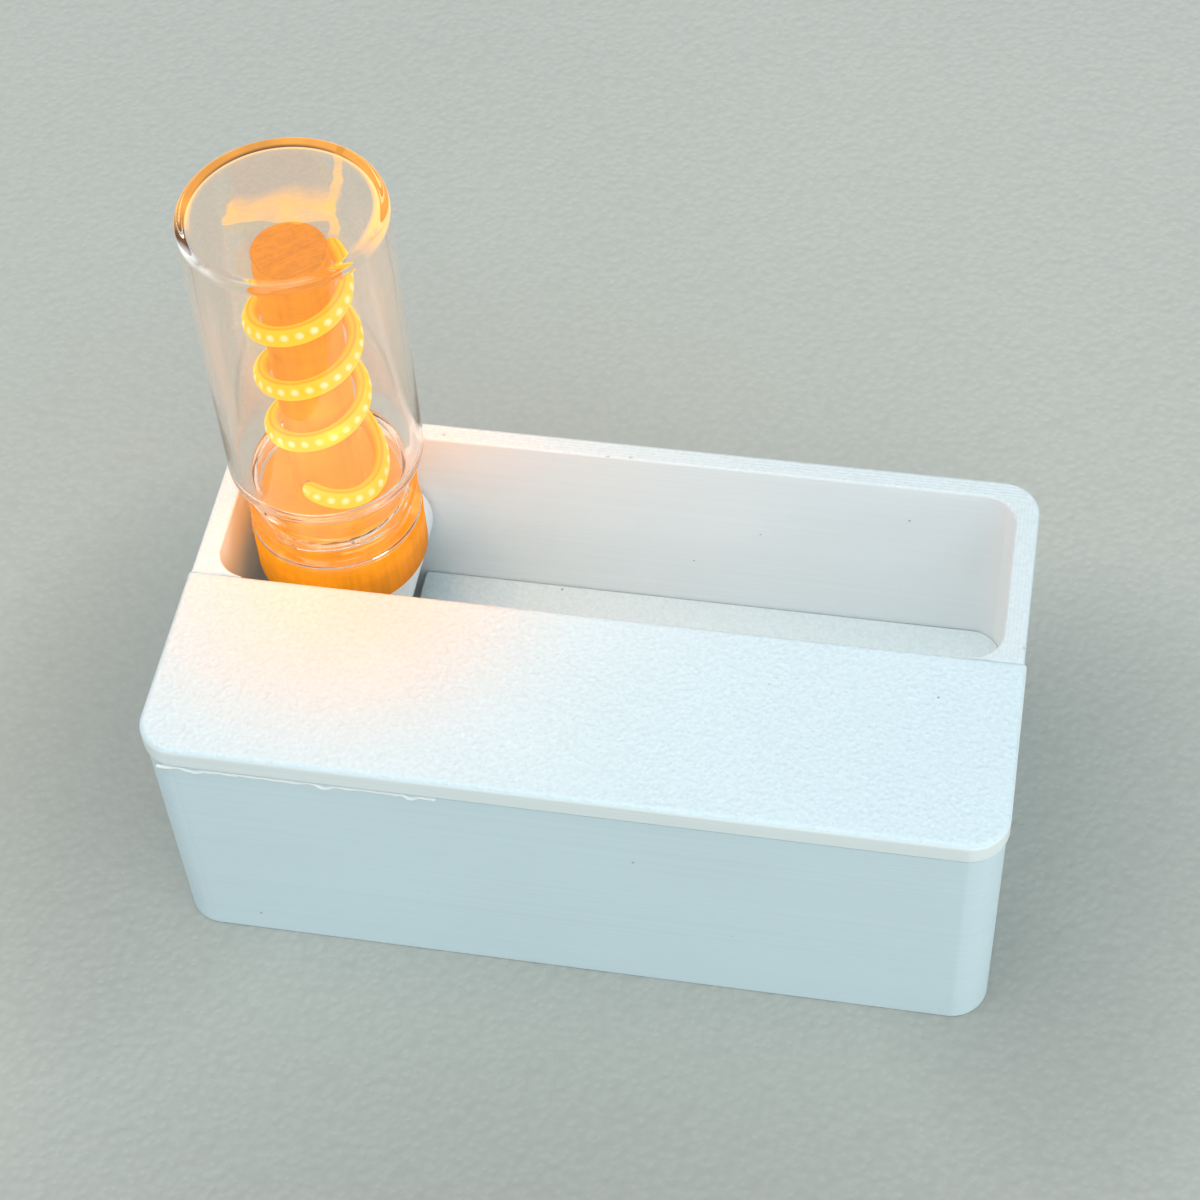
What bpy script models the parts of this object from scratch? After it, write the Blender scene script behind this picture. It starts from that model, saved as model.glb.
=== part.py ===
"""Vial lamp: a coiled LED filament under an upturned glass vial, which folds down into a printed box.

Units are metres, +Z is up, X runs along the box and Y from its lidded front to its open trough.
The origin is the centre of the box's bottom face.
"""

import math

import bmesh
import bpy
from mathutils import Matrix, Vector

MM = 0.001

# Driving dimensions of the box
LENGTH = 100 * MM
DEPTH = 53 * MM
HEIGHT = 37.8 * MM
LID_THICKNESS = 3.1 * MM
LID_OVERHANG = 0.3 * MM
WALL = 2.7 * MM
BACK_WALL = 2.6 * MM
FLOOR = 2.4 * MM
CORNER = 4.5 * MM
SEAM = 0.3 * MM
FIT = 0.3 * MM

# The trough in the rear half, and the wall that parts it from the bay in the front half
TROUGH_FRONT = -0.4 * MM
DIVIDER = 2.4 * MM
TROUGH_CORNER = 4 * MM
TROUGH_FLOOR_TOP = 11.2 * MM
PLATE_THICKNESS = 2.4 * MM
PLATE_LEFT = -28.5 * MM
RIB_COUNT = 3
RIB_INSET = 8 * MM
RIB_THICKNESS = 1.6 * MM
RIB_GAP = 1.5 * MM

# The lamp, which stands on its pivot and folds towards +X
LAMP_X = -34.55 * MM
PIVOT_Z = 24 * MM
KNUCKLE_RADIUS = 8.3 * MM
BASE_TOP = 30.5 * MM
BASE_DISC_RADIUS = 9.9 * MM
BASE_DISC_THICKNESS = 2 * MM
BASE_CLEARANCE = 0.6 * MM
COLLAR_RADIUS = 10.5 * MM
COLLAR_HEIGHT = 6.4 * MM
PLUG_RADIUS = 8.45 * MM
PLUG_TOP = 44 * MM
POST_RADIUS = 4.35 * MM
POST_TOP = 81.0 * MM
BORE_RADIUS = 2.2 * MM

# The glass vial
GLASS_TOP = 87.6 * MM
GLASS_RADIUS = 11.7 * MM
GLASS_WALL = 1.2 * MM
GLASS_END = 1.6 * MM
END_BEND = 0.9 * MM
NECK_RADIUS = 9.4 * MM
NECK_BORE = 8.75 * MM
THREAD_RADIUS = 10.3 * MM
SHOULDER_Z = 49 * MM

# The filament's coil: z is HELIX_Z where it crosses the +X side of the post
FILAMENT_THICKNESS = 1.9 * MM
FILAMENT_WIDTH = 2.6 * MM
COIL_RADIUS = 5.55 * MM
COIL_PITCH = 8.9 * MM
HELIX_Z = 49.7 * MM
COIL_START = -94
COIL_REGULAR = 75
COIL_END = 1125
COIL_START_Z = 47.5 * MM
TAB_RADIUS = 0.35 * MM

# Pivot, wiring and electronics
BUSH_RADIUS = 3 * MM
BUSH_BORE = 1.5 * MM
PIN_RADIUS = 1.5 * MM
RUNNING = 0.08 * MM
CABLE_RADIUS = 1.2 * MM
LEAD_RADIUS = 0.45 * MM
CELL_RADIUS = 9.2 * MM
CELL_LENGTH = 65 * MM
CELL_LEFT = -19 * MM
BOARD_TOP = 8.2 * MM
BOARD_THICKNESS = 1.6 * MM
BOARD_LENGTH = 26 * MM
BOARD_WIDTH = 17 * MM
SWITCH_Z = 19 * MM
SWITCH_Y = -13.2 * MM
SWITCH_TRAVEL = 2 * MM

ROUND = 48
SMALL_ROUND = 24

SIDE = LENGTH / 2 - LID_OVERHANG
FRONT = -DEPTH / 2 + LID_OVERHANG
BACK = DEPTH / 2
INNER_X = SIDE - WALL
BAY_FRONT = FRONT + WALL
BAY_BACK = TROUGH_FRONT - DIVIDER
TROUGH_BACK = BACK - BACK_WALL
LAMP_Y = (TROUGH_FRONT + TROUGH_BACK) / 2
LID_BOTTOM = HEIGHT - LID_THICKNESS
PLATE_BOTTOM = TROUGH_FLOOR_TOP - PLATE_THICKNESS
BAY_Y = (BAY_FRONT + BAY_BACK) / 2


def clear_scene():
    for item in list(bpy.data.objects):
        bpy.data.objects.remove(item, do_unlink=True)


def new_collection(name):
    group = bpy.data.collections.new(name)
    bpy.context.scene.collection.children.link(group)
    return group


clear_scene()
PARTS = new_collection("vial_lamp")
CUTTERS = new_collection("cutters")


def material(name, colour, roughness, metallic=0.0, transmission=0.0, glow=0.0):
    made = bpy.data.materials.new(name)
    made.use_nodes = True
    shader = made.node_tree.nodes["Principled BSDF"]
    shader.inputs["Base Color"].default_value = (*colour, 1.0)
    shader.inputs["Roughness"].default_value = roughness
    shader.inputs["Metallic"].default_value = metallic
    shader.inputs["Transmission Weight"].default_value = transmission
    shader.inputs["Emission Color"].default_value = (*colour, 1.0)
    shader.inputs["Emission Strength"].default_value = glow
    return made


WHITE = material("white_print", (0.80, 0.86, 0.87), 0.55)
LID_WHITE = material("lid_print", (0.84, 0.90, 0.91), 0.60)
PLATE_WHITE = material("plate_print", (0.72, 0.80, 0.83), 0.60)
LIT_PRINT = material("lit_print", (0.95, 0.45, 0.12), 0.50, glow=0.6)
FILAMENT = material("filament", (1.0, 0.78, 0.10), 0.40, glow=4.0)
GLASS = material("glass", (0.98, 0.99, 0.99), 0.02, transmission=1.0)
STEEL = material("steel", (0.62, 0.62, 0.60), 0.30, metallic=1.0)
NICKEL = material("nickel", (0.70, 0.68, 0.62), 0.35, metallic=1.0)
CELL_WRAP = material("cell_wrap", (0.10, 0.35, 0.60), 0.45)
BLACK = material("black_plastic", (0.03, 0.03, 0.03), 0.50)
GREEN_BOARD = material("board", (0.03, 0.18, 0.10), 0.40)
CERAMIC = material("resistor", (0.72, 0.62, 0.45), 0.50)
RED_WIRE = material("red_wire", (0.60, 0.05, 0.04), 0.45)
BLACK_WIRE = material("black_wire", (0.04, 0.04, 0.04), 0.45)
CABLE = material("cable", (0.75, 0.75, 0.74), 0.50)


def link(name, mesh, look, place=(0, 0, 0)):
    made = bpy.data.objects.new(name, mesh)
    made.location = place
    if look is None:
        CUTTERS.objects.link(made)
        made.hide_render = True
        made.display_type = "WIRE"
    else:
        PARTS.objects.link(made)
        mesh.materials.append(look)
    return made


def mesh_from(name, shape, sharp=35):
    bmesh.ops.recalc_face_normals(shape, faces=shape.faces)
    mesh = bpy.data.meshes.new(name)
    shape.to_mesh(mesh)
    shape.free()
    mesh.shade_smooth()
    mesh.set_sharp_from_angle(angle=math.radians(sharp))
    return mesh


def block(name, low, high, look, corner=0.0, corners="all", edge=0.0, segments=6):
    """A box from its low and high corners. corner rounds upright edges, edge rounds the top ones."""
    low, high = Vector(low), Vector(high)
    shape = bmesh.new()
    bmesh.ops.create_cube(shape, size=1.0)
    bmesh.ops.scale(shape, vec=high - low, verts=shape.verts)
    if corner:
        rounded = [one for one in shape.edges if upright(one) and wanted(one.verts[0].co, corners)]
        bmesh.ops.bevel(
            shape, geom=rounded, offset=corner, segments=segments, profile=0.5, affect="EDGES"
        )
    if edge:
        top = (high.z - low.z) / 2
        rim = [one for one in shape.edges if all(abs(v.co.z - top) < 1e-7 for v in one.verts)]
        bmesh.ops.bevel(shape, geom=rim, offset=edge, segments=2, profile=0.5, affect="EDGES")
    return link(name, mesh_from(name, shape), look, (low + high) / 2)


def upright(edge):
    one, other = (v.co for v in edge.verts)
    return abs(one.z - other.z) > 1e-6 and (one.xy - other.xy).length < 1e-7


def wanted(at, corners):
    return {"all": True, "front": at.y < 0, "right": at.x > 0}[corners]


def rod(name, radius, start, end, look, segments=SMALL_ROUND):
    """A cylinder between two points."""
    start, end = Vector(start), Vector(end)
    run = end - start
    shape = bmesh.new()
    bmesh.ops.create_cone(
        shape,
        cap_ends=True,
        segments=segments,
        radius1=radius,
        radius2=radius,
        depth=run.length,
    )
    turn = run.to_track_quat("Z", "Y").to_matrix().to_4x4()
    bmesh.ops.transform(shape, matrix=turn, verts=shape.verts)
    return link(name, mesh_from(name, shape), look, (start + end) / 2)


def turned(name, profile, look, place, segments=ROUND):
    """A closed (radius, z) outline, drawn down its outer side first, turned round Z."""
    mesh = bpy.data.meshes.new(name)
    points = [(radius, 0.0, z) for radius, z in profile]
    on_axis = profile[0][0] == 0 and profile[-1][0] == 0
    edges = [(i, i + 1) for i in range(len(points) - 1)]
    if not on_axis:
        edges.append((len(points) - 1, 0))
    mesh.from_pydata(points, edges, [])
    made = link(name, mesh, look, place)
    screw = made.modifiers.new("turn", "SCREW")
    screw.steps = segments
    screw.render_steps = segments
    screw.use_merge_vertices = True
    screw.merge_threshold = 0.00001
    screw.use_smooth_shade = True
    return made


def tube(name, points, radius, look, sides=2):
    """A wire through the points, with its origin on the first of them."""
    start = Vector(points[0])
    curve = bpy.data.curves.new(name, "CURVE")
    curve.dimensions = "3D"
    curve.bevel_depth = radius
    curve.bevel_resolution = sides
    curve.use_fill_caps = True
    line = curve.splines.new("POLY")
    line.points.add(len(points) - 1)
    for spot, point in zip(line.points, points):
        spot.co = (*(Vector(point) - start), 1.0)
    return link(name, curve, look, start)


def strip(name, points, thickness, width, look, sides=12):
    """A bar of oval section through the points, thickness across the level and width up the slope."""
    route = [Vector(point) for point in points]
    start = route[0]
    corners, faces = [], []
    for i, at in enumerate(route):
        run = (route[min(i + 1, len(route) - 1)] - route[max(i - 1, 0)]).normalized()
        across = run.cross(Vector((0, 0, 1))).normalized()
        up = across.cross(run)
        for k in range(sides):
            angle = 2 * math.pi * k / sides
            out = across * thickness / 2 * math.cos(angle)
            corners.append(at - start + out + up * width / 2 * math.sin(angle))
    for i in range(len(route) - 1):
        for k in range(sides):
            near, far = i * sides + k, i * sides + (k + 1) % sides
            faces.append((near, far, far + sides, near + sides))
    faces.append(tuple(range(sides)))
    faces.append(tuple(range(len(corners) - sides, len(corners))))
    mesh = bpy.data.meshes.new(name)
    mesh.from_pydata(corners, [], faces)
    shape = bmesh.new()
    shape.from_mesh(mesh)
    return link(name, mesh_from(name, shape), look, start)


def smooth_route(points, steps=4):
    """Points along a Catmull-Rom curve through the given ones."""
    route = [Vector(point) for point in points]
    ends = [2 * route[0] - route[1], *route, 2 * route[-1] - route[-2]]
    found = []
    for a, b, c, d in zip(ends, ends[1:], ends[2:], ends[3:]):
        for step in range(steps):
            t = step / steps
            found.append(
                (2 * b + (c - a) * t + (2 * a - 5 * b + 4 * c - d) * t**2 + (3 * b - a - 3 * c + d) * t**3)
                / 2
            )
    return [*found, route[-1]]


def boolean(target, tool, operation="DIFFERENCE"):
    step = target.modifiers.new(tool.name, "BOOLEAN")
    step.object = tool
    step.operation = operation


def cut_block(target, name, low, high, **rounding):
    boolean(target, block(name, low, high, None, **rounding))


def cut_rod(target, name, radius, start, end, segments=SMALL_ROUND):
    boolean(target, rod(name, radius, start, end, None, segments))


def empty(name, place):
    made = bpy.data.objects.new(name, None)
    made.location = place
    made.empty_display_size = 0.01
    PARTS.objects.link(made)
    return made


def hang(parent, *pieces):
    """Parents the pieces to an empty without moving them."""
    for piece in pieces:
        piece.parent = parent
        piece.matrix_parent_inverse = Matrix.Translation(-parent.location)


# Box


def make_case_body():
    body = block(
        "case_body", (-SIDE, FRONT, 0), (SIDE, BACK, HEIGHT), WHITE, corner=CORNER, edge=0.4 * MM
    )
    above = HEIGHT + 5 * MM
    cut_block(
        body,
        "lid_seat",
        (-LENGTH, -DEPTH, LID_BOTTOM - SEAM),
        (LENGTH, TROUGH_FRONT + SEAM, above),
    )
    cut_block(
        body,
        "bay",
        (-INNER_X, BAY_FRONT, FLOOR),
        (INNER_X, BAY_BACK, above),
        corner=2 * MM,
        segments=3,
    )
    cut_block(
        body,
        "trough",
        (-INNER_X, TROUGH_FRONT, FLOOR),
        (INNER_X, TROUGH_BACK, above),
        corner=TROUGH_CORNER,
    )
    for number in range(RIB_COUNT):
        x = PLATE_LEFT + RIB_INSET + number * (INNER_X - PLATE_LEFT - 2 * RIB_INSET) / (RIB_COUNT - 1)
        rib = block(
            f"trough_rib_{number + 1}",
            (x - RIB_THICKNESS / 2, TROUGH_FRONT + RIB_GAP, FLOOR - MM),
            (x + RIB_THICKNESS / 2, TROUGH_BACK - RIB_GAP, PLATE_BOTTOM - FIT),
            None,
        )
        boolean(body, rib, "UNION")
    cut_rod(
        body,
        "bush_hole",
        BUSH_RADIUS + RUNNING,
        (LAMP_X, BAY_BACK - MM, PIVOT_Z),
        (LAMP_X, TROUGH_FRONT + MM, PIVOT_Z),
        ROUND,
    )
    cut_rod(
        body,
        "pin_hole",
        PIN_RADIUS + RUNNING,
        (LAMP_X, TROUGH_BACK - MM, PIVOT_Z),
        (LAMP_X, BACK + MM, PIVOT_Z),
    )
    socket_z = BOARD_TOP + 1.9 * MM
    cut_block(
        body,
        "usb_hole",
        (-SIDE - MM, BAY_Y - 4.9 * MM, socket_z - 2 * MM),
        (-INNER_X + MM, BAY_Y + 4.9 * MM, socket_z + 2 * MM),
    )
    cut_block(
        body,
        "switch_recess",
        (-SIDE - MM, SWITCH_Y - 4.5 * MM, SWITCH_Z - 2.2 * MM),
        (-SIDE + 1.4 * MM, SWITCH_Y + 4.5 * MM, SWITCH_Z + 2.2 * MM),
    )
    cut_block(
        body,
        "switch_slot",
        (-SIDE, SWITCH_Y - 2.6 * MM, SWITCH_Z - 1.1 * MM),
        (-INNER_X + MM, SWITCH_Y + 2.6 * MM, SWITCH_Z + 1.1 * MM),
    )
    for number, (x, y) in enumerate(screw_places(), start=1):
        post = rod(
            f"board_post_{number}",
            2.2 * MM,
            (x, y, FLOOR - MM),
            (x, y, BOARD_TOP - BOARD_THICKNESS - FIT),
            None,
        )
        boolean(body, post, "UNION")
        cut_rod(
            body,
            f"post_bore_{number}",
            1.1 * MM,
            (x, y, FLOOR + MM),
            (x, y, BOARD_TOP),
            16,
        )
    return body


def screw_places():
    x = -INNER_X + 0.6 * MM + BOARD_LENGTH - 3 * MM
    reach = BOARD_WIDTH / 2 - 3 * MM
    return [(x, BAY_Y - reach), (x, BAY_Y + reach)]


def make_case_lid():
    lid = block(
        "case_lid",
        (-LENGTH / 2, -DEPTH / 2, LID_BOTTOM),
        (LENGTH / 2, TROUGH_FRONT, HEIGHT),
        LID_WHITE,
        corner=CORNER + LID_OVERHANG,
        corners="front",
        edge=0.6 * MM,
    )
    inset = FIT
    lip = block(
        "lid_lip",
        (-INNER_X + inset, BAY_FRONT + inset, LID_BOTTOM - 2.3 * MM),
        (INNER_X - inset, BAY_BACK - inset, LID_BOTTOM + MM),
        None,
        corner=1.7 * MM,
        segments=3,
    )
    boolean(lid, lip, "UNION")
    inset = FIT + 1.6 * MM
    cut_block(
        lid,
        "lip_hollow",
        (-INNER_X + inset, BAY_FRONT + inset, LID_BOTTOM - 4 * MM),
        (INNER_X - inset, BAY_BACK - inset, LID_BOTTOM),
    )
    return lid


def make_trough_floor():
    return block(
        "trough_floor",
        (PLATE_LEFT, TROUGH_FRONT + FIT, PLATE_BOTTOM),
        (INNER_X - FIT, TROUGH_BACK - FIT, TROUGH_FLOOR_TOP),
        PLATE_WHITE,
        corner=TROUGH_CORNER - FIT,
        corners="right",
    )


# Lamp


def make_lamp_base():
    front = TROUGH_FRONT + BASE_CLEARANCE
    back = TROUGH_BACK - BASE_CLEARANCE
    base = rod(
        "lamp_base", KNUCKLE_RADIUS, (LAMP_X, front, PIVOT_Z), (LAMP_X, back, PIVOT_Z), WHITE, ROUND
    )
    cut_block(
        base,
        "base_flat",
        (LAMP_X - 0.02, front - MM, BASE_TOP - 1 * MM),
        (LAMP_X + 0.02, back + MM, BASE_TOP + 0.01),
    )
    disc = rod(
        "base_disc",
        BASE_DISC_RADIUS,
        (LAMP_X, LAMP_Y, BASE_TOP - BASE_DISC_THICKNESS),
        (LAMP_X, LAMP_Y, BASE_TOP),
        None,
        ROUND,
    )
    boolean(base, disc, "UNION")
    cut_rod(
        base,
        "bush_seat",
        BUSH_RADIUS + RUNNING,
        (LAMP_X, front - MM, PIVOT_Z),
        (LAMP_X, front + 5.6 * MM, PIVOT_Z),
        ROUND,
    )
    cut_rod(
        base,
        "cable_way",
        2 * MM,
        (LAMP_X, front + 5 * MM, PIVOT_Z),
        (LAMP_X, LAMP_Y + 1.5 * MM, PIVOT_Z),
    )
    cut_rod(
        base,
        "lead_way",
        BORE_RADIUS,
        (LAMP_X, LAMP_Y, PIVOT_Z - MM),
        (LAMP_X, LAMP_Y, BASE_TOP + MM),
    )
    cut_rod(
        base,
        "pin_seat",
        PIN_RADIUS + RUNNING,
        (LAMP_X, back - 6 * MM, PIVOT_Z),
        (LAMP_X, back + MM, PIVOT_Z),
    )
    return base


def make_light_plug():
    bottom = BASE_TOP + FIT
    top = bottom + COLLAR_HEIGHT
    bevel = 0.4 * MM
    socket = POST_RADIUS + FIT
    profile = [
        (socket, PLUG_TOP),
        (PLUG_RADIUS - bevel, PLUG_TOP),
        (PLUG_RADIUS, PLUG_TOP - bevel),
        (PLUG_RADIUS, top),
        (COLLAR_RADIUS - bevel, top),
        (COLLAR_RADIUS, top - bevel),
        (COLLAR_RADIUS, bottom),
        (6 * MM, bottom),
        (6 * MM, bottom + 2.2 * MM),
        (BORE_RADIUS, bottom + 2.2 * MM),
        (BORE_RADIUS, top),
        (socket, top),
    ]
    return turned("light_plug", profile, LIT_PRINT, (LAMP_X, LAMP_Y, 0))


def make_light_post():
    bottom = BASE_TOP + COLLAR_HEIGHT + 2 * FIT
    profile = [
        (0, POST_TOP),
        (POST_RADIUS, POST_TOP),
        (POST_RADIUS, bottom),
        (BORE_RADIUS, bottom),
        (BORE_RADIUS, POST_TOP - 1.5 * MM),
        (0, POST_TOP - 1.5 * MM),
    ]
    post = turned("light_post", profile, LIT_PRINT, (LAMP_X, LAMP_Y, 0))
    for name, degrees, z in tab_holes():
        out = around(degrees, POST_RADIUS + MM, z)
        within = around(degrees, BORE_RADIUS - MM, z)
        cut_rod(post, f"{name}_hole", TAB_RADIUS + FIT, within, out, 12)
    return post


def tab_holes():
    """The name, angle and height of the hole where each filament end enters the post."""
    return [
        ("lower_tab", COIL_START - 12, COIL_START_Z),
        ("upper_tab", COIL_END + 12, coil_height(COIL_END)),
    ]


def around(degrees, radius, z):
    """A point at an angle about the lamp's axis, counted from +X towards +Y."""
    angle = math.radians(degrees)
    return Vector((LAMP_X + radius * math.cos(angle), LAMP_Y + radius * math.sin(angle), z))


def coil_height(degrees):
    """Along the coil: level while its lowest turn droops, then rising by COIL_PITCH a turn."""
    regular = HELIX_Z + COIL_PITCH * degrees / 360
    if degrees >= COIL_REGULAR:
        return regular
    done = (degrees - COIL_START) / (COIL_REGULAR - COIL_START)
    joined = HELIX_Z + COIL_PITCH * COIL_REGULAR / 360
    droop = 1.7 * MM * math.sin(math.pi * min(1.0, 1.15 * done))
    return COIL_START_Z + (joined - COIL_START_Z) * done**3 - droop


def coil_radius(degrees):
    """The lowest turn stands a little off the post."""
    if degrees >= COIL_REGULAR:
        return COIL_RADIUS
    done = (degrees - COIL_START) / (COIL_REGULAR - COIL_START)
    return COIL_RADIUS + 1 * MM * math.sin(math.pi * done)


def make_led_filament():
    step = 360 / 20
    count = round((COIL_END - COIL_START) / step)
    angles = [COIL_START + (COIL_END - COIL_START) * i / count for i in range(count + 1)]
    points = [around(a, coil_radius(a), coil_height(a)) for a in angles]
    return strip("led_filament", points, FILAMENT_THICKNESS, FILAMENT_WIDTH, FILAMENT)


def make_filament_tabs():
    made = []
    for (hole, degrees, z), end, way in zip(tab_holes(), (COIL_START, COIL_END), (-1, 1)):
        points = [
            around(end + way * 4, COIL_RADIUS, z),
            around(end + way * 9, COIL_RADIUS - 0.3 * MM, z),
            around(degrees, POST_RADIUS, z),
            around(degrees, BORE_RADIUS + 0.5 * MM, z),
        ]
        made.append(tube(f"filament_{hole.split('_')[0]}_tab", points, TAB_RADIUS, NICKEL))
    return made


def make_lamp_leads():
    made = []
    start = LAMP_Y - 1.2 * MM
    for name, side, top in (("lower", -1, COIL_START_Z), ("upper", 1, coil_height(COIL_END))):
        x = LAMP_X + side * 0.9 * MM
        points = [
            (x, start, PIVOT_Z),
            (x, LAMP_Y - 0.5 * MM, PIVOT_Z + 0.4 * MM),
            (x, LAMP_Y, PIVOT_Z + 1.6 * MM),
            (x, LAMP_Y, top),
        ]
        made.append(tube(f"lamp_lead_{name}", points, LEAD_RADIUS, BLACK_WIRE))
    return made


def make_glass_vial():
    lip = BASE_TOP + FIT + COLLAR_HEIGHT + FIT
    inner = GLASS_RADIUS - GLASS_WALL
    outside = [(0, GLASS_TOP)]
    outside += quarter(GLASS_RADIUS - END_BEND, GLASS_TOP - END_BEND, END_BEND, 90, 0)
    outside += quarter(GLASS_RADIUS - 1.8 * MM, SHOULDER_Z, 1.8 * MM, 0, -90)
    outside += [(NECK_RADIUS, SHOULDER_Z - 2.4 * MM)]
    for ridge in (lip + 5 * MM, lip + 2.6 * MM):
        outside += [
            (NECK_RADIUS, ridge + 0.8 * MM),
            (THREAD_RADIUS, ridge + 0.25 * MM),
            (THREAD_RADIUS, ridge - 0.25 * MM),
            (NECK_RADIUS, ridge - 0.8 * MM),
        ]
    outside += [
        (NECK_RADIUS, lip + 1.3 * MM),
        (COLLAR_RADIUS - 0.1 * MM, lip + 0.8 * MM),
        (COLLAR_RADIUS - 0.1 * MM, lip),
    ]
    inside = [
        (NECK_BORE, lip),
        (NECK_BORE, SHOULDER_Z - 3 * MM),
        (inner, SHOULDER_Z + 0.4 * MM),
    ]
    inside += quarter(inner - 1.2 * MM, GLASS_TOP - GLASS_END - 1.2 * MM, 1.2 * MM, 0, 90)
    inside += [(0, GLASS_TOP - GLASS_END)]
    return turned("glass_vial", outside + inside, GLASS, (LAMP_X, LAMP_Y, 0))


def quarter(radius, z, bend, first, last, steps=4):
    """Points on an arc of the profile, centred at (radius, z)."""
    angles = [math.radians(first + (last - first) * i / steps) for i in range(steps + 1)]
    return [(radius + bend * math.cos(a), z + bend * math.sin(a)) for a in angles]


# Pivot


def make_hinge_bush():
    front = BAY_BACK - 1.9 * MM
    back = TROUGH_FRONT + BASE_CLEARANCE + 5.2 * MM
    bush = rod("hinge_bush", BUSH_RADIUS, (LAMP_X, front, PIVOT_Z), (LAMP_X, back, PIVOT_Z), WHITE, ROUND)
    flange = rod(
        "bush_flange",
        4.6 * MM,
        (LAMP_X, front, PIVOT_Z),
        (LAMP_X, front + 1.5 * MM, PIVOT_Z),
        None,
    )
    boolean(bush, flange, "UNION")
    cut_rod(
        bush,
        "bush_bore",
        BUSH_BORE,
        (LAMP_X, front - MM, PIVOT_Z),
        (LAMP_X, back + MM, PIVOT_Z),
    )
    return bush


def make_hinge_pin():
    return rod(
        "hinge_pin",
        PIN_RADIUS,
        (LAMP_X, TROUGH_BACK - BASE_CLEARANCE - 5.6 * MM, PIVOT_Z),
        (LAMP_X, BACK - FIT, PIVOT_Z),
        STEEL,
    )


def make_moving_cable():
    start = (LAMP_X, BAY_BACK - 1.9 * MM, PIVOT_Z)
    end = (LAMP_X, LAMP_Y - 1.6 * MM, PIVOT_Z)
    return rod("lamp_cable_moving", CABLE_RADIUS, start, end, CABLE, 12)


def make_fixed_cable():
    points = smooth_route(
        [
            (LAMP_X, BAY_BACK - 2.3 * MM, PIVOT_Z),
            (LAMP_X + 0.5 * MM, BAY_BACK - 5 * MM, PIVOT_Z - 1 * MM),
            (LAMP_X + 4 * MM, BAY_Y, PIVOT_Z - 6 * MM),
            (LAMP_X + 8.5 * MM, BAY_Y, BOARD_TOP + 4.5 * MM),
            (LAMP_X + 8.5 * MM, BAY_Y, BOARD_TOP + FIT),
        ]
    )
    return tube("lamp_cable_fixed", points, CABLE_RADIUS, CABLE)


# Electronics in the bay


def make_cell():
    z = FLOOR + 2 * MM + CELL_RADIUS
    right = CELL_LEFT + CELL_LENGTH
    cell = rod("lithium_cell", CELL_RADIUS, (CELL_LEFT, BAY_Y, z), (right, BAY_Y, z), CELL_WRAP, ROUND)
    cradle = block(
        "cell_cradle",
        (CELL_LEFT + 4 * MM, BAY_FRONT + FIT, FLOOR + FIT),
        (right - 4 * MM, BAY_BACK - FIT, FLOOR + 7 * MM),
        BLACK,
    )
    cut_rod(
        cradle,
        "cradle_groove",
        CELL_RADIUS + FIT,
        (CELL_LEFT - MM, BAY_Y, z),
        (right + MM, BAY_Y, z),
        ROUND,
    )
    tabs = [cell, cradle]
    for name, x in (("negative", CELL_LEFT - 0.5 * MM), ("positive", right + 0.3 * MM)):
        tabs.append(
            block(
                f"cell_tab_{name}",
                (x, BAY_Y - 3 * MM, z - 3 * MM),
                (x + 0.2 * MM, BAY_Y + 3 * MM, z + 8 * MM),
                NICKEL,
            )
        )
    return tabs


def make_cell_leads():
    z = FLOOR + 2 * MM + 2 * CELL_RADIUS + 1.2 * MM
    board = BOARD_TOP + FIT
    x = -INNER_X + 0.6 * MM + BOARD_LENGTH - 2 * MM
    left = CELL_LEFT - 1.4 * MM
    negative = smooth_route(
        [
            (left, BAY_Y + 1 * MM, z - 3 * MM),
            (left - 0.8 * MM, BAY_Y + 1 * MM, z - 7 * MM),
            (x - MM, BAY_Y + 1.5 * MM, board + 4 * MM),
            (x - MM, BAY_Y + 1.5 * MM, board),
        ]
    )
    right = CELL_LEFT + CELL_LENGTH + 0.4 * MM
    positive = smooth_route(
        [
            (right, BAY_Y - 3.5 * MM, z - 1.4 * MM),
            (right - 2 * MM, BAY_Y - 2 * MM, z),
            (right - 8 * MM, BAY_Y - 1 * MM, z),
            (CELL_LEFT + 30 * MM, BAY_Y + 0.5 * MM, z),
            (CELL_LEFT + 4 * MM, BAY_Y - 1 * MM, z),
            (left - 1 * MM, BAY_Y - 2 * MM, z - 2 * MM),
            (x - MM, BAY_Y - 2 * MM, board + 5 * MM),
            (x - MM, BAY_Y - 2 * MM, board),
        ]
    )
    return [
        tube("cell_lead_negative", negative, LEAD_RADIUS, BLACK_WIRE),
        tube("cell_lead_positive", positive, LEAD_RADIUS, RED_WIRE),
    ]


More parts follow.
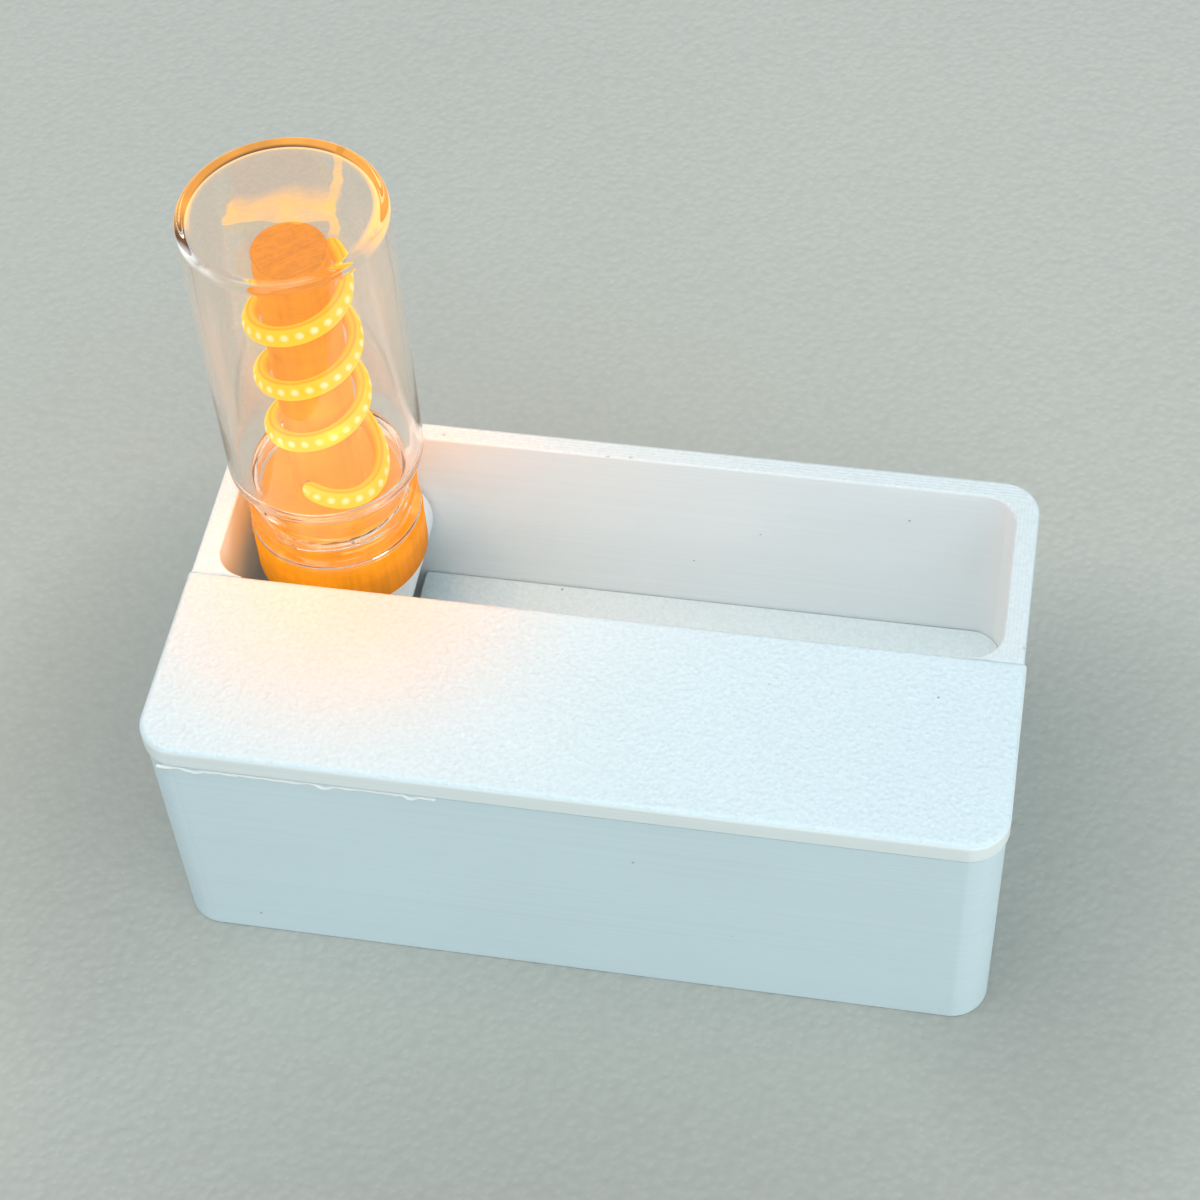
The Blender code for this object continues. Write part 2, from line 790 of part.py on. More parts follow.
def make_board():
    left = -INNER_X + 0.6 * MM
    bottom = BOARD_TOP - BOARD_THICKNESS
    half = BOARD_WIDTH / 2
    board = block(
        "charge_board",
        (left, BAY_Y - half, bottom),
        (left + BOARD_LENGTH, BAY_Y + half, BOARD_TOP),
        GREEN_BOARD,
        corner=0.8 * MM,
        segments=2,
    )
    for number, (x, y) in enumerate(screw_places(), start=1):
        cut_rod(
            board, f"board_hole_{number}", 1.3 * MM, (x, y, bottom - MM), (x, y, BOARD_TOP + MM), 16
        )
    centre = BOARD_TOP + 1.9 * MM
    socket = block(
        "usb_socket",
        (-SIDE + 0.5 * MM, BAY_Y - 4.5 * MM, BOARD_TOP + FIT),
        (left + 6.5 * MM, BAY_Y + 4.5 * MM, BOARD_TOP + FIT + 3.2 * MM),
        STEEL,
    )
    cut_block(
        socket,
        "usb_mouth",
        (-SIDE, BAY_Y - 4.2 * MM, centre - 1.3 * MM),
        (left + 4.5 * MM, BAY_Y + 4.2 * MM, centre + 1.3 * MM),
    )
    tongue = block(
        "usb_tongue",
        (-SIDE + 1.2 * MM, BAY_Y - 3.3 * MM, centre - 0.35 * MM),
        (left + 5 * MM, BAY_Y + 3.3 * MM, centre + 0.35 * MM),
        None,
    )
    boolean(socket, tongue, "UNION")
    chip = block(
        "charge_chip",
        (left + 8.5 * MM, BAY_Y - 7 * MM, BOARD_TOP + FIT),
        (left + 13.5 * MM, BAY_Y - 3 * MM, BOARD_TOP + FIT + 1.5 * MM),
        BLACK,
    )
    resistor = rod(
        "series_resistor",
        1.1 * MM,
        (left + 8 * MM, BAY_Y + 5 * MM, BOARD_TOP + 1.5 * MM),
        (left + 14 * MM, BAY_Y + 5 * MM, BOARD_TOP + 1.5 * MM),
        CERAMIC,
        16,
    )
    return [board, socket, chip, resistor]


def make_board_screws():
    made = []
    for number, (x, y) in enumerate(screw_places(), start=1):
        head = BOARD_TOP + FIT
        profile = [
            (0, head + 1.1 * MM),
            (1.5 * MM, head + 1.1 * MM),
            (1.9 * MM, head + 0.7 * MM),
            (1.9 * MM, head),
            (0.9 * MM, head),
            (0.9 * MM, FLOOR + 1.6 * MM),
            (0, FLOOR + 1.2 * MM),
        ]
        made.append(turned(f"board_screw_{number}", profile, STEEL, (x, y, 0), 16))
    return made


def make_switch():
    inner = -INNER_X + FIT
    body = block(
        "switch_body",
        (inner, SWITCH_Y - 4.3 * MM, SWITCH_Z - 1.8 * MM),
        (inner + 3.6 * MM, SWITCH_Y + 4.3 * MM, SWITCH_Z + 1.8 * MM),
        STEEL,
    )
    cut_block(
        body,
        "lever_slot",
        (inner - MM, SWITCH_Y - 2.2 * MM, SWITCH_Z - 1 * MM),
        (inner + 1.4 * MM, SWITCH_Y + 2.2 * MM, SWITCH_Z + 1 * MM),
    )
    start = SWITCH_Y - SWITCH_TRAVEL / 2
    lever = block(
        "switch_lever",
        (-SIDE + 0.1 * MM, start - 0.8 * MM, SWITCH_Z - 0.7 * MM),
        (inner + 1 * MM, start + 0.8 * MM, SWITCH_Z + 0.7 * MM),
        BLACK,
    )
    leads = []
    for number, (side, look) in enumerate(((-1, RED_WIRE), (1, RED_WIRE)), start=1):
        y = SWITCH_Y + side * 2.5 * MM
        route = smooth_route(
            [
                (inner + 3.9 * MM, y, SWITCH_Z),
                (inner + 6 * MM, y, SWITCH_Z - 0.5 * MM),
                (inner + 8 * MM, BAY_Y + side * 1.6 * MM, SWITCH_Z - 4 * MM),
                (inner + 8.5 * MM, BAY_Y + side * 1.6 * MM, BOARD_TOP + FIT),
            ]
        )
        leads.append(tube(f"switch_lead_{number}", route, LEAD_RADIUS, look))
    return body, lever, leads


def build():
    make_case_body()
    make_case_lid()
    make_trough_floor()
    make_hinge_pin()
    make_fixed_cable()
    make_cell()
    make_cell_leads()
    make_board()
    make_board_screws()
    _, lever, _ = make_switch()

    fold_axis = empty("fold_axis", (LAMP_X, LAMP_Y, PIVOT_Z))
    hang(
        fold_axis,
        make_lamp_base(),
        make_hinge_bush(),
        make_moving_cable(),
        make_light_plug(),
        make_light_post(),
        make_led_filament(),
        *make_filament_tabs(),
        *make_lamp_leads(),
    )
    pull_axis = empty("pull_axis", (LAMP_X, LAMP_Y, PLUG_TOP))
    hang(pull_axis, make_glass_vial())
    switch_axis = empty("switch_axis", (-SIDE, SWITCH_Y, SWITCH_Z))
    hang(switch_axis, lever)


build()
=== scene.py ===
"""The look of the vial lamp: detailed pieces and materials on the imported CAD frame. Units are metres."""

import math

import bmesh
import bpy
from mathutils import Matrix, Vector, noise


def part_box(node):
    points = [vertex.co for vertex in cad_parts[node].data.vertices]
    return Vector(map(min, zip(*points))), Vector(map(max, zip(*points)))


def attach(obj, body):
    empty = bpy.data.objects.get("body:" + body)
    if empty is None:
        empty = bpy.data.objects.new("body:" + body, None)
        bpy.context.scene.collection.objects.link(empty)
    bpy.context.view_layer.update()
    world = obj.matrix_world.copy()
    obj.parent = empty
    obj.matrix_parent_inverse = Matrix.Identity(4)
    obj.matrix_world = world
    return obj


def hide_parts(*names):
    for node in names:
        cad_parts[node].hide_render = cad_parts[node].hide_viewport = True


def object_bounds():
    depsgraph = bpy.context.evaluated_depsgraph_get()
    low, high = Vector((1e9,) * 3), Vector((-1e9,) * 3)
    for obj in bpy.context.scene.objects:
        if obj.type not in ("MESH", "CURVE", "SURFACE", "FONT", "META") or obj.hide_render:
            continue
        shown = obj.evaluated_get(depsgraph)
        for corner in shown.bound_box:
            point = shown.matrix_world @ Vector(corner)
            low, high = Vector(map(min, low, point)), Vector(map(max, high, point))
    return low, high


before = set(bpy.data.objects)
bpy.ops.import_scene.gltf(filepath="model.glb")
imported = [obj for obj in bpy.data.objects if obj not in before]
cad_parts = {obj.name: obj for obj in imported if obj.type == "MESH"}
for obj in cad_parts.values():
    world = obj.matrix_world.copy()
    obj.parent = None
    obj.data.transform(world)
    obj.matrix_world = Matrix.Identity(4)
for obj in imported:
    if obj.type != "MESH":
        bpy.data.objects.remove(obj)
CAD_LOW, CAD_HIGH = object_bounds()

MM = 0.001

# The camera, fitted to the box's edges
CAMERA_PLACE = (45.47 * MM, -192.55 * MM, 293.67 * MM)
CAMERA_TURN = (37.898, 2.584, 9.918)
CAMERA_LENS = 82.65

# The frame's own places
BODY_LOW, BODY_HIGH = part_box("case_body")
LID_LOW, LID_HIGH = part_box("case_lid")
PLATE_LOW, PLATE_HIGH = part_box("trough_floor")
FOOT_LOW, FOOT_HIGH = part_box("lamp_base")
PLUG_LOW, PLUG_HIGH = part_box("light_plug")
POST_LOW, POST_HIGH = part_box("light_post")
VIAL_LOW, VIAL_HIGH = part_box("glass_vial")
BUSH_LOW, BUSH_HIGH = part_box("hinge_bush")
PIN_LOW, PIN_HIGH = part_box("hinge_pin")
USB_LOW, USB_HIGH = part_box("usb_socket")
SWITCH_LOW, SWITCH_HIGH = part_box("switch_body")
LEVER_LOW, LEVER_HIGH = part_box("switch_lever")
AXIS = (PLUG_LOW + PLUG_HIGH) / 2
PIVOT_Z = (PIN_LOW.z + PIN_HIGH.z) / 2

# Box, as in the CAD
WALL = 2.7 * MM
BACK_WALL = 2.6 * MM
FLOOR = 2.4 * MM
CORNER = 4.5 * MM
SEAM = 0.3 * MM
LID_THICKNESS = 3.1 * MM
LID_OVERHANG = LID_HIGH.x - BODY_HIGH.x
LID_BOTTOM = LID_HIGH.z - LID_THICKNESS
DIVIDER = 2.4 * MM
TROUGH_FRONT = LID_HIGH.y
TROUGH_BACK = BODY_HIGH.y - BACK_WALL
TROUGH_CORNER = 4 * MM
INNER_X = BODY_HIGH.x - WALL
BAY_FRONT = BODY_LOW.y + WALL
BAY_BACK = TROUGH_FRONT - DIVIDER
BUSH_HOLE = 3.08 * MM
PIN_HOLE = 1.58 * MM

# Lamp, as in the CAD
KNUCKLE_RADIUS = PIVOT_Z - FOOT_LOW.z
DISC_THICKNESS = 2 * MM
DISC_RADIUS = 9.9 * MM
COLLAR_TOP = PLUG_LOW.z + 6.4 * MM
PLUG_RADIUS = 8.45 * MM
POST_RADIUS = (POST_HIGH.x - POST_LOW.x) / 2
BORE_RADIUS = 2.2 * MM
NECK_RADIUS = 9.4 * MM
NECK_BORE = 8.75 * MM
LIP_RADIUS = 10.4 * MM
SHOULDER_Z = 49 * MM
THREAD_DEPTH = 0.9 * MM
THREAD_PITCH = 2.4 * MM
THREAD_START = VIAL_LOW.z + 2.1 * MM
THREAD_TURNS = 1.7
COIL_RADIUS = 5.55 * MM
COIL_PITCH = 8.9 * MM
HELIX_Z = 49.7 * MM
COIL_START = -94
COIL_REGULAR = 75
COIL_END = 1125
COIL_START_Z = 47.5 * MM
FILAMENT_THICKNESS = 1.9 * MM
FILAMENT_WIDTH = 2.6 * MM

# Not in the CAD: a thinner glass, as the photo shows, and sizes that the materials use.
# CHIP_TURN is the share of a turn about the filament, from its inner side to its chips.
# END_LEAN is how far the painted light in the vial's closed end slants.
GLASS_WALL = 1.0 * MM
GLASS_END = 1.2 * MM
END_LEAN = 0.22
FILAMENT_GIRTH = 7.1 * MM
CHIP_PITCH = 1.5 * MM
CHIP_RADIUS = 0.48 * MM
CHIP_TURN = 0.565
LAYER = 0.2 * MM
LINE_WIDTH = 0.45 * MM
CORNER_HIGHLIGHT_BAND = (45.7 * MM, 46.0 * MM)
NOISE = (0.3, 0.7)


# Mesh helpers


def coat(made, look):
    """One material for the whole piece."""
    made.data.materials.clear()
    made.data.materials.append(look.material)


def link(name, mesh, looks=()):
    made = bpy.data.objects.new(name, mesh)
    bpy.context.scene.collection.objects.link(made)
    for look in looks:
        mesh.materials.append(look.material)
    return made


def mesh_of(name, points, faces, sharp=35):
    mesh = bpy.data.meshes.new(name)
    mesh.from_pydata(points, [], faces)
    shape = bmesh.new()
    shape.from_mesh(mesh)
    bmesh.ops.recalc_face_normals(shape, faces=shape.faces)
    shape.to_mesh(mesh)
    shape.free()
    finish_mesh(mesh, sharp)
    return mesh


def finish_mesh(mesh, sharp=35):
    mesh.shade_smooth()
    mesh.set_sharp_from_angle(angle=math.radians(sharp))


def even_normals(made):
    """Keeps flat faces flat beside their rounded edges."""
    step = made.modifiers.new("even_normals", "WEIGHTED_NORMAL")
    step.keep_sharp = True
    return made


def soften(points, bend, steps=5, closed=False):
    """The outline with an arc in place of each corner. bend is one radius, or one for each point."""
    count = len(points)
    bends = [bend] * count if isinstance(bend, (int, float)) else list(bend)
    found = []
    for i, point in enumerate(points):
        at = Vector(point)
        if not closed and i in (0, count - 1) or bends[i] == 0:
            found.append(at)
            continue
        before = Vector(points[i - 1]) - at
        after = Vector(points[(i + 1) % count]) - at
        angle = before.angle(after)
        reach = min(bends[i] / math.tan(angle / 2), 0.49 * before.length, 0.49 * after.length)
        start, end = at + before.normalized() * reach, at + after.normalized() * reach
        for step in range(steps + 1):
            t = step / steps
            found.append((1 - t) ** 2 * start + 2 * t * (1 - t) * at + t**2 * end)
    return found


def lathe(name, profile, looks, place=(0, 0, 0), segments=144, along="Z", shift=None):
    """A closed (radius, height) outline turned round an axis. shift(angle, r, z) moves a radius."""
    points, rings = [], []
    for radius, height in profile:
        if radius < 1e-7:
            rings.append([len(points)])
            points.append(Vector((0, 0, height)))
            continue
        rings.append(list(range(len(points), len(points) + segments)))
        for i in range(segments):
            angle = 2 * math.pi * i / segments
            out = radius + (shift(angle, radius, height) if shift else 0)
            points.append(Vector((out * math.cos(angle), out * math.sin(angle), height)))
    faces = []
    open_ended = profile[0][0] < 1e-7 and profile[-1][0] < 1e-7
    pairs = list(zip(rings, rings[1:])) + ([] if open_ended else [(rings[-1], rings[0])])
    for one, other in pairs:
        faces += bridge(one, other)
    turn = {"Z": Matrix(), "Y": Matrix.Rotation(-math.pi / 2, 4, "X")}[along]
    points = [Vector(place) + turn @ point for point in points]
    return link(name, mesh_of(name, points, faces), looks)


def rod(name, radius, length, place, segments, along="Y"):
    """A plain cylinder to cut a hole with."""
    return lathe(name, [(0, 0), (radius, 0), (radius, length), (0, length)], (), place, segments, along)


def bridge(one, other):
    if len(one) == 1 and len(other) == 1:
        return []
    count = max(len(one), len(other))
    faces = []
    for i in range(count):
        j = (i + 1) % count
        corners = [one[i % len(one)], one[j % len(one)], other[j % len(other)], other[i % len(other)]]
        faces.append(list(dict.fromkeys(corners)))
    return faces


def outline(low, high, radii, inset, steps=12):
    """A rounded rectangle, pulled in by inset. radii are for its (+x+y, -x+y, -x-y, +x-y) corners."""
    spots = []
    for (sx, sy), radius, first in zip(((1, 1), (-1, 1), (-1, -1), (1, -1)), radii, (0, 90, 180, 270)):
        bend = max(radius - inset, 0.02 * MM)
        x = (high[0] if sx > 0 else low[0]) - sx * (inset + bend)
        y = (high[1] if sy > 0 else low[1]) - sy * (inset + bend)
        for step in range(steps + 1):
            angle = math.radians(first + 90 * step / steps)
            spots.append((x + bend * math.cos(angle), y + bend * math.sin(angle)))
    return spots


def slab(name, low, high, radii, levels, looks=(), steps=12):
    """A rounded block. levels are its (inset, z) rings from the bottom up."""
    points, faces, rings = [], [], []
    for inset, z in levels:
        ring = outline(low, high, radii, inset, steps)
        rings.append(list(range(len(points), len(points) + len(ring))))
        points += [(x, y, z) for x, y in ring]
    for one, other in zip(rings, rings[1:]):
        faces += bridge(one, other)
    faces += [rings[0], rings[-1]]
    return link(name, mesh_of(name, points, faces), looks)


def rounded_levels(bottom, top, bottom_bend, top_bend, steps=5):
    """Rings for a slab whose lower and upper edges are rounded outwards."""
    levels = []
    for step in range(steps + 1):
        angle = math.pi / 2 * step / steps
        levels.append((bottom_bend * (1 - math.sin(angle)), bottom + bottom_bend * (1 - math.cos(angle))))
    for step in range(steps + 1):
        angle = math.pi / 2 * step / steps
        levels.append((top_bend * (1 - math.cos(angle)), top - top_bend * (1 - math.sin(angle))))
    return levels


def flared_levels(bottom, top, mouth, bend, steps=5):
    """Rings for a cutter whose mouth leaves a rounded edge at height mouth."""
    levels = [(0, bottom)]
    for step in range(steps + 1):
        angle = math.pi / 2 * step / steps
        levels.append((-bend * (1 - math.cos(angle)), mouth - bend * (1 - math.sin(angle))))
    return [*levels, (-bend, top)]


def sweep(name, points, looks, radius, sides=16, squash=1.0):
    """A round-ended tube through the points. radius is a number or a function of the share of the way."""
    route = [Vector(point) for point in points]
    count = len(route)
    verts, rings = [], []
    up = Vector((0, 0, 1))
    for i, at in enumerate(route):
        run = (route[min(i + 1, count - 1)] - route[max(i - 1, 0)]).normalized()
        side = run.cross(up).normalized()
        over = side.cross(run)
        wide = radius(i / (count - 1)) if callable(radius) else radius
        ring = []
        for k in range(sides):
            angle = math.pi + 2 * math.pi * k / sides
            ring.append(len(verts))
            verts.append(at + side * wide * squash * math.cos(angle) + over * wide * math.sin(angle))
        rings.append(ring)
    faces = []
    for one, other in zip(rings, rings[1:]):
        faces += bridge(one, other)
    ends = ((rings[0], route[0], route[0] - route[1]), (rings[-1], route[-1], route[-1] - route[-2]))
    for ring, end, way in ends:
        wide = radius(0 if end is route[0] else 1) if callable(radius) else radius
        last = ring
        for angle in (30, 60):
            cap = []
            for index in ring:
                out = (verts[index] - end) * math.cos(math.radians(angle))
                cap.append(len(verts))
                verts.append(end + out + way.normalized() * wide * math.sin(math.radians(angle)))
            faces += bridge(last, cap)
            last = cap
        tip = len(verts)
        verts.append(end + way.normalized() * wide)
        faces += bridge(last, [tip])
    return link(name, mesh_of(name, verts, faces, 60), looks)


def smooth_route(points, steps=8):
    """Points along a Catmull-Rom curve through the given ones."""
    route = [Vector(point) for point in points]
    ends = [2 * route[0] - route[1], *route, 2 * route[-1] - route[-2]]
    found = []
    for a, b, c, d in zip(ends, ends[1:], ends[2:], ends[3:]):
        for step in range(steps):
            t = step / steps
            found.append(
                (2 * b + (c - a) * t + (2 * a - 5 * b + 4 * c - d) * t**2 + (3 * b - a - 3 * c + d) * t**3)
                / 2
            )
    return [*found, route[-1]]


def combine(target, tools, operation="DIFFERENCE"):
    """Cuts the tools from the target, or joins them to it, for good."""
    for tool in tools:
        step = target.modifiers.new(tool.name, "BOOLEAN")
        step.object = tool
        step.operation = operation
        step.solver = "EXACT"
    settle(target)
    for tool in tools:
        bpy.data.objects.remove(tool, do_unlink=True)


def settle(made):
    """Makes the modifiers' result the object's own mesh."""
    graph = bpy.context.evaluated_depsgraph_get()
    mesh = bpy.data.meshes.new_from_object(made.evaluated_get(graph))
    made.modifiers.clear()
    made.data = mesh
    finish_mesh(mesh)


def paint(made, look, test):
    """Gives the faces that pass the test another material."""
    made.data.materials.append(look.material)
    index = len(made.data.materials) - 1
    for face in made.data.polygons:
        if test(face):
            face.material_index = index


# Materials


class Look:
    """A material, and calls that add nodes to it."""

    def __init__(self, name, colour=(0.8, 0.8, 0.8), **values):
        self.material = bpy.data.materials.new(name)
        self.material.use_nodes = True
        self.tree = self.material.node_tree
        self.shader = self.tree.nodes["Principled BSDF"]
        self.shader.inputs["Base Color"].default_value = (*colour, 1)
        for key, value in values.items():
            self.shader.inputs[key.replace("_", " ")].default_value = value
        self.place = self.node("TexCoord", 3)

    def node(self, kind, output=0, inputs=None, **settings):
        made = self.tree.nodes.new("ShaderNode" + kind)
        for key, value in settings.items():
            setattr(made, key, value)
        for key, value in (inputs or {}).items():
            self.feed(made.inputs[key], value)
        return made.outputs[output]

    def feed(self, socket, value):
        if isinstance(value, bpy.types.NodeSocket):
            self.tree.links.new(value, socket)
        else:
            socket.default_value = value

    def set(self, name, value):
        self.feed(self.shader.inputs[name], value)

    def maths(self, operation, *values):
        return self.node("Math", inputs=dict(enumerate(values)), operation=operation)

    def times(self, *values):
        return self.chain("MULTIPLY", values)

    def plus(self, *values):
        return self.chain("ADD", values)

    def chain(self, operation, values):
        made = values[0]
        for value in values[1:]:
            made = self.maths(operation, made, value)
        return made

    def minus(self, one, other):
        return self.maths("SUBTRACT", one, other)

    def over(self, one, other):
        return self.maths("DIVIDE", one, other)

    def size(self, value):
        return self.maths("ABSOLUTE", value)

    def power(self, value, degree):
        return self.maths("POWER", value, degree)

    def stretched(self, x, y, z):
        return self.node("Mapping", inputs={"Vector": self.place, "Scale": (x, y, z)})

    def noise(self, scale, detail=3.0, rough=0.5, place=None):
        """Noise mostly within NOISE, with features 1/scale long."""
        inputs = {"Vector": place or self.place, "Scale": scale, "Detail": detail, "Roughness": rough}
        return self.node("TexNoise", inputs=inputs)

    def cells(self, scale, place=None, feature="F1", output=0):
        inputs = {"Vector": place or self.place, "Scale": scale}
        return self.node("TexVoronoi", output, inputs=inputs, feature=feature)

    def spread(self, value, low, high, to_low=0.0, to_high=1.0):
        return self.node("MapRange", inputs={0: value, 1: low, 2: high, 3: to_low, 4: to_high})

    def vary(self, low, high, *grain):
        """Noise made to run from low to high."""
        return self.spread(self.noise(*grain), *NOISE, low, high)

    def blend(self, share, one, other, how="MIX"):
        made = self.tree.nodes.new("ShaderNodeMix")
        made.data_type = "RGBA"
        made.blend_type = how
        self.feed(made.inputs[0], share)
        for socket, value in ((made.inputs[6], one), (made.inputs[7], other)):
            self.feed(socket, value if isinstance(value, bpy.types.NodeSocket) else (*value, 1))
        return made.outputs[2]

    def grey(self, value):
        return self.node("CombineColor", inputs={0: value, 1: value, 2: value})

    def mixed(self, share, one, other):
        """A number between one and other."""
        return self.node("Mix", inputs={0: share, 2: one, 3: other})

    def bump(self, height, depth):
        """Relief depth metres high."""
        inputs = {"Height": height, "Distance": depth}
        if self.shader.inputs["Normal"].links:
            inputs["Normal"] = self.shader.inputs["Normal"].links[0].from_socket
        self.set("Normal", self.node("Bump", inputs=inputs))

    def axis(self, which):
        return self.node("SeparateXYZ", "XYZ".index(which), inputs={0: self.place})

    def reach(self):
        """Distance from the lamp's axis."""
        flat = self.node("VectorMath", inputs={0: self.place, 1: (AXIS.x, AXIS.y, 0)}, operation="SUBTRACT")
        flat = self.node("VectorMath", inputs={0: flat, 1: (1, 1, 0)}, operation="MULTIPLY")
        return self.node("VectorMath", 1, inputs={0: flat}, operation="LENGTH")

    def away(self, x, y, middle, half_size):
        """Squared distance from the middle of an oval, which is 1 on its edge."""
        away_x = self.over(self.minus(x, middle[0]), half_size[0])
        away_y = self.over(self.minus(y, middle[1]), half_size[1])
        return self.plus(self.power(away_x, 2.0), self.power(away_y, 2.0))

    def ribs(self, value, pitch):
        """Rounded ribs one pitch apart."""
        return self.size(self.maths("SINE", self.times(self.over(value, pitch), math.pi)))

    def layers(self, depth):
        """Print layers: a ridge each, and a slightly different width."""
        self.bump(self.ribs(self.axis("Z"), LAYER), depth)
        streaks = self.noise(1.0, 2.0, 0.5, self.stretched(18, 18, 3000))
        self.bump(streaks, 2.5 * depth)
        return streaks


def printed(name, colour, grain=0.0, pits=0.0, painted_glow=False):
    """White filament: layer lines on its sides, or a bed's grain on a face printed against it."""
    look = Look(name, colour, Roughness=0.5)
    shade = look.vary(0.985, 1.01, 60, 3.0)
    if grain:
        bumps = look.noise(1900, 2.0, 0.55)
        knobs = look.spread(look.cells(1700, feature="SMOOTH_F1"), 0.0, 0.6, 1.0, 0.0)
        look.bump(bumps, grain)
        look.bump(knobs, 0.8 * grain)
        # Painted glints: the grain is lighter on its raised bumps and knobs.
        bumps = look.spread(bumps, *NOISE, 0.95, 1.03)
        shade = look.times(shade, bumps, look.spread(knobs, 0.0, 1.0, 0.99, 1.03))
    else:
        streaks = look.spread(look.layers(0.008 * MM), *NOISE, 0.98, 1.014)
        # Painted highlight: lighter where the walls round into their corners.
        corners = look.spread(look.size(look.axis("X")), *CORNER_HIGHLIGHT_BAND, 1.0, 1.05)
        shade = look.times(shade, streaks, corners)
    if pits:
        holes = look.spread(look.cells(330), 0.04, 0.10)
        look.bump(holes, pits)
        # Painted shade: darker in the pits.
        shade = look.times(shade, look.spread(holes, 0.0, 1.0, 0.8, 1.0))
        past_side = look.minus(look.size(look.axis("X")), INNER_X)
        past_back = look.minus(look.axis("Y"), TROUGH_BACK)
        lines = look.ribs(look.maths("MAXIMUM", past_side, past_back), LINE_WIDTH)
        look.bump(lines, 0.03 * MM)
        # Painted shade: darker in the grooves between the rim's print lines.
        shade = look.times(shade, look.spread(lines, 0.0, 0.4, 0.95, 1.0))
    specks = look.spread(look.cells(140), 0.018, 0.03, 0.55, 1.0)
    shade = look.times(shade, specks)
    # Painted light: a warm pool of the lamp's glow on the lid round the vial.
    if painted_glow:
        middle = (AXIS.x + 4 * MM, TROUGH_FRONT)
        away = look.away(look.axis("X"), look.axis("Y"), middle, (19 * MM, 17 * MM))
        near = look.power(look.spread(away, 0.0, 3.2, 1.0, 0.0), 2.5)
        colour = look.blend(near, colour, (0.86, 0.79, 0.70))
    look.set("Base Color", look.blend(1.0, colour, look.grey(shade), "MULTIPLY"))
    look.set("Roughness", look.vary(0.38, 0.6, 700, 2.0))
    return look


# One white print throughout. The inner walls, the lamp foot and the lid's sides take lighter copies of it:
# painted light for the light filling the trough and soaking through the walls, and for light on the lid's
# edge.
WALL_LOOK = printed("wall_print", (0.71, 0.87, 0.92))
LIGHTER_INNER_LOOK = printed("inner_wall_print_painted_lighter", (0.90, 0.97, 0.99))
LID_LOOK = printed("lid_print_top", (0.76, 0.93, 0.99), 0.10 * MM, painted_glow=True)
LIGHTER_EDGE_LOOK = printed("lid_print_edge_painted_lighter", (0.88, 0.96, 0.96))
RIM_LOOK = printed("rim_print", (0.80, 0.92, 0.95), 0.05 * MM, 0.12 * MM)
PLATE_LOOK = printed("plate_print_top", (0.77, 0.91, 0.95), 0.08 * MM)


def lit_print():
    """Print painted with the lamp's glow as emission: orange, darker low down, with infill lines on top."""
    look = Look("lit_print", (0.14, 0.035, 0.002), Roughness=0.6)
    look.set("Specular IOR Level", 0.2)
    streaks = look.layers(0.015 * MM)
    # The painted glow fades lower down.
    height = look.spread(look.axis("Z"), PLUG_LOW.z, PLUG_HIGH.z + 6 * MM)
    ramp = look.node("ValToRGB", inputs={0: height})
    stops = ramp.node.color_ramp.elements
    stops[0].color = (0.46, 0.15, 0.006, 1)
    stops[1].color = (1.0, 0.34, 0.006, 1)
    middle = stops.new(0.34)
    middle.color = (1.0, 0.33, 0.006, 1)
    upright = look.noise(1.0, 2.0, 0.5, look.stretched(1600, 1600, 40))
    tone = look.times(
        look.vary(0.88, 1.1, 260, 3.0),
        look.spread(streaks, *NOISE, 0.92, 1.06),
        look.spread(upright, *NOISE, 0.9, 1.08),
    )
    place = look.node("Mapping", inputs={"Vector": look.place, "Rotation": (0, 0, math.radians(-38))})
    lines = look.noise(1.0, 2.0, 0.5, look.node("Mapping", inputs={"Vector": place, "Scale": (120, 4200, 1)}))
    on_top = look.spread(look.axis("Z"), POST_HIGH.z - 0.3 * MM, POST_HIGH.z - 0.1 * MM)
    look.bump(look.times(lines, on_top), 0.15 * MM)
    top_tone = look.spread(lines, 0.35, 0.65, 0.74, 0.90)
    tone = look.times(tone, look.mixed(on_top, 1.0, top_tone))
    look.set("Emission Color", look.blend(1.0, ramp, look.grey(tone), "MULTIPLY"))
    look.set("Emission Strength", 0.92)
    return look


def filament_look():
    """Phosphor silicone: yellow, orange against the post, with a soft spot over each lit chip."""
    look = Look("filament_silicone", (0.10, 0.04, 0.002), Roughness=0.4)
    look.set("Specular IOR Level", 0.25)
    spot = look.node("TexCoord", 2)
    along = look.node("SeparateXYZ", 0, inputs={0: spot})
    around_it = look.node("SeparateXYZ", 1, inputs={0: spot})
    ramp = look.node("ValToRGB", inputs={0: around_it})
    stops = ramp.node.color_ramp.elements
    stops[0].color = (1.0, 0.24, 0.003, 1)
    stops[1].color = (1.0, 0.24, 0.003, 1)
    greens = {0.22: 0.33, 0.30: 0.50, 0.38: 0.64, 0.68: 0.66, 0.725: 0.38, 0.77: 0.58, 0.90: 0.30}
    for place, green in greens.items():
        stop = stops.new(place)
        stop.color = (1.0, green, 0.004, 1)
    half_size = (CHIP_RADIUS / CHIP_PITCH, CHIP_RADIUS / FILAMENT_GIRTH)
    away = look.away(look.maths("FRACT", along), around_it, (0.5, CHIP_TURN), half_size)
    chip = look.spread(away, 0.15, 1.1, 1.0, 0.0)
    patches = look.spread(look.noise(400, 2.0), 0.35, 0.65, 0.6, 1.0)
    chip = look.times(chip, patches)
    look.set("Emission Color", look.blend(chip, ramp, (1.0, 0.95, 0.50)))
    look.set("Emission Strength", 1.0)
    look.bump(look.noise(700, 2.0), 0.04 * MM)
    return look


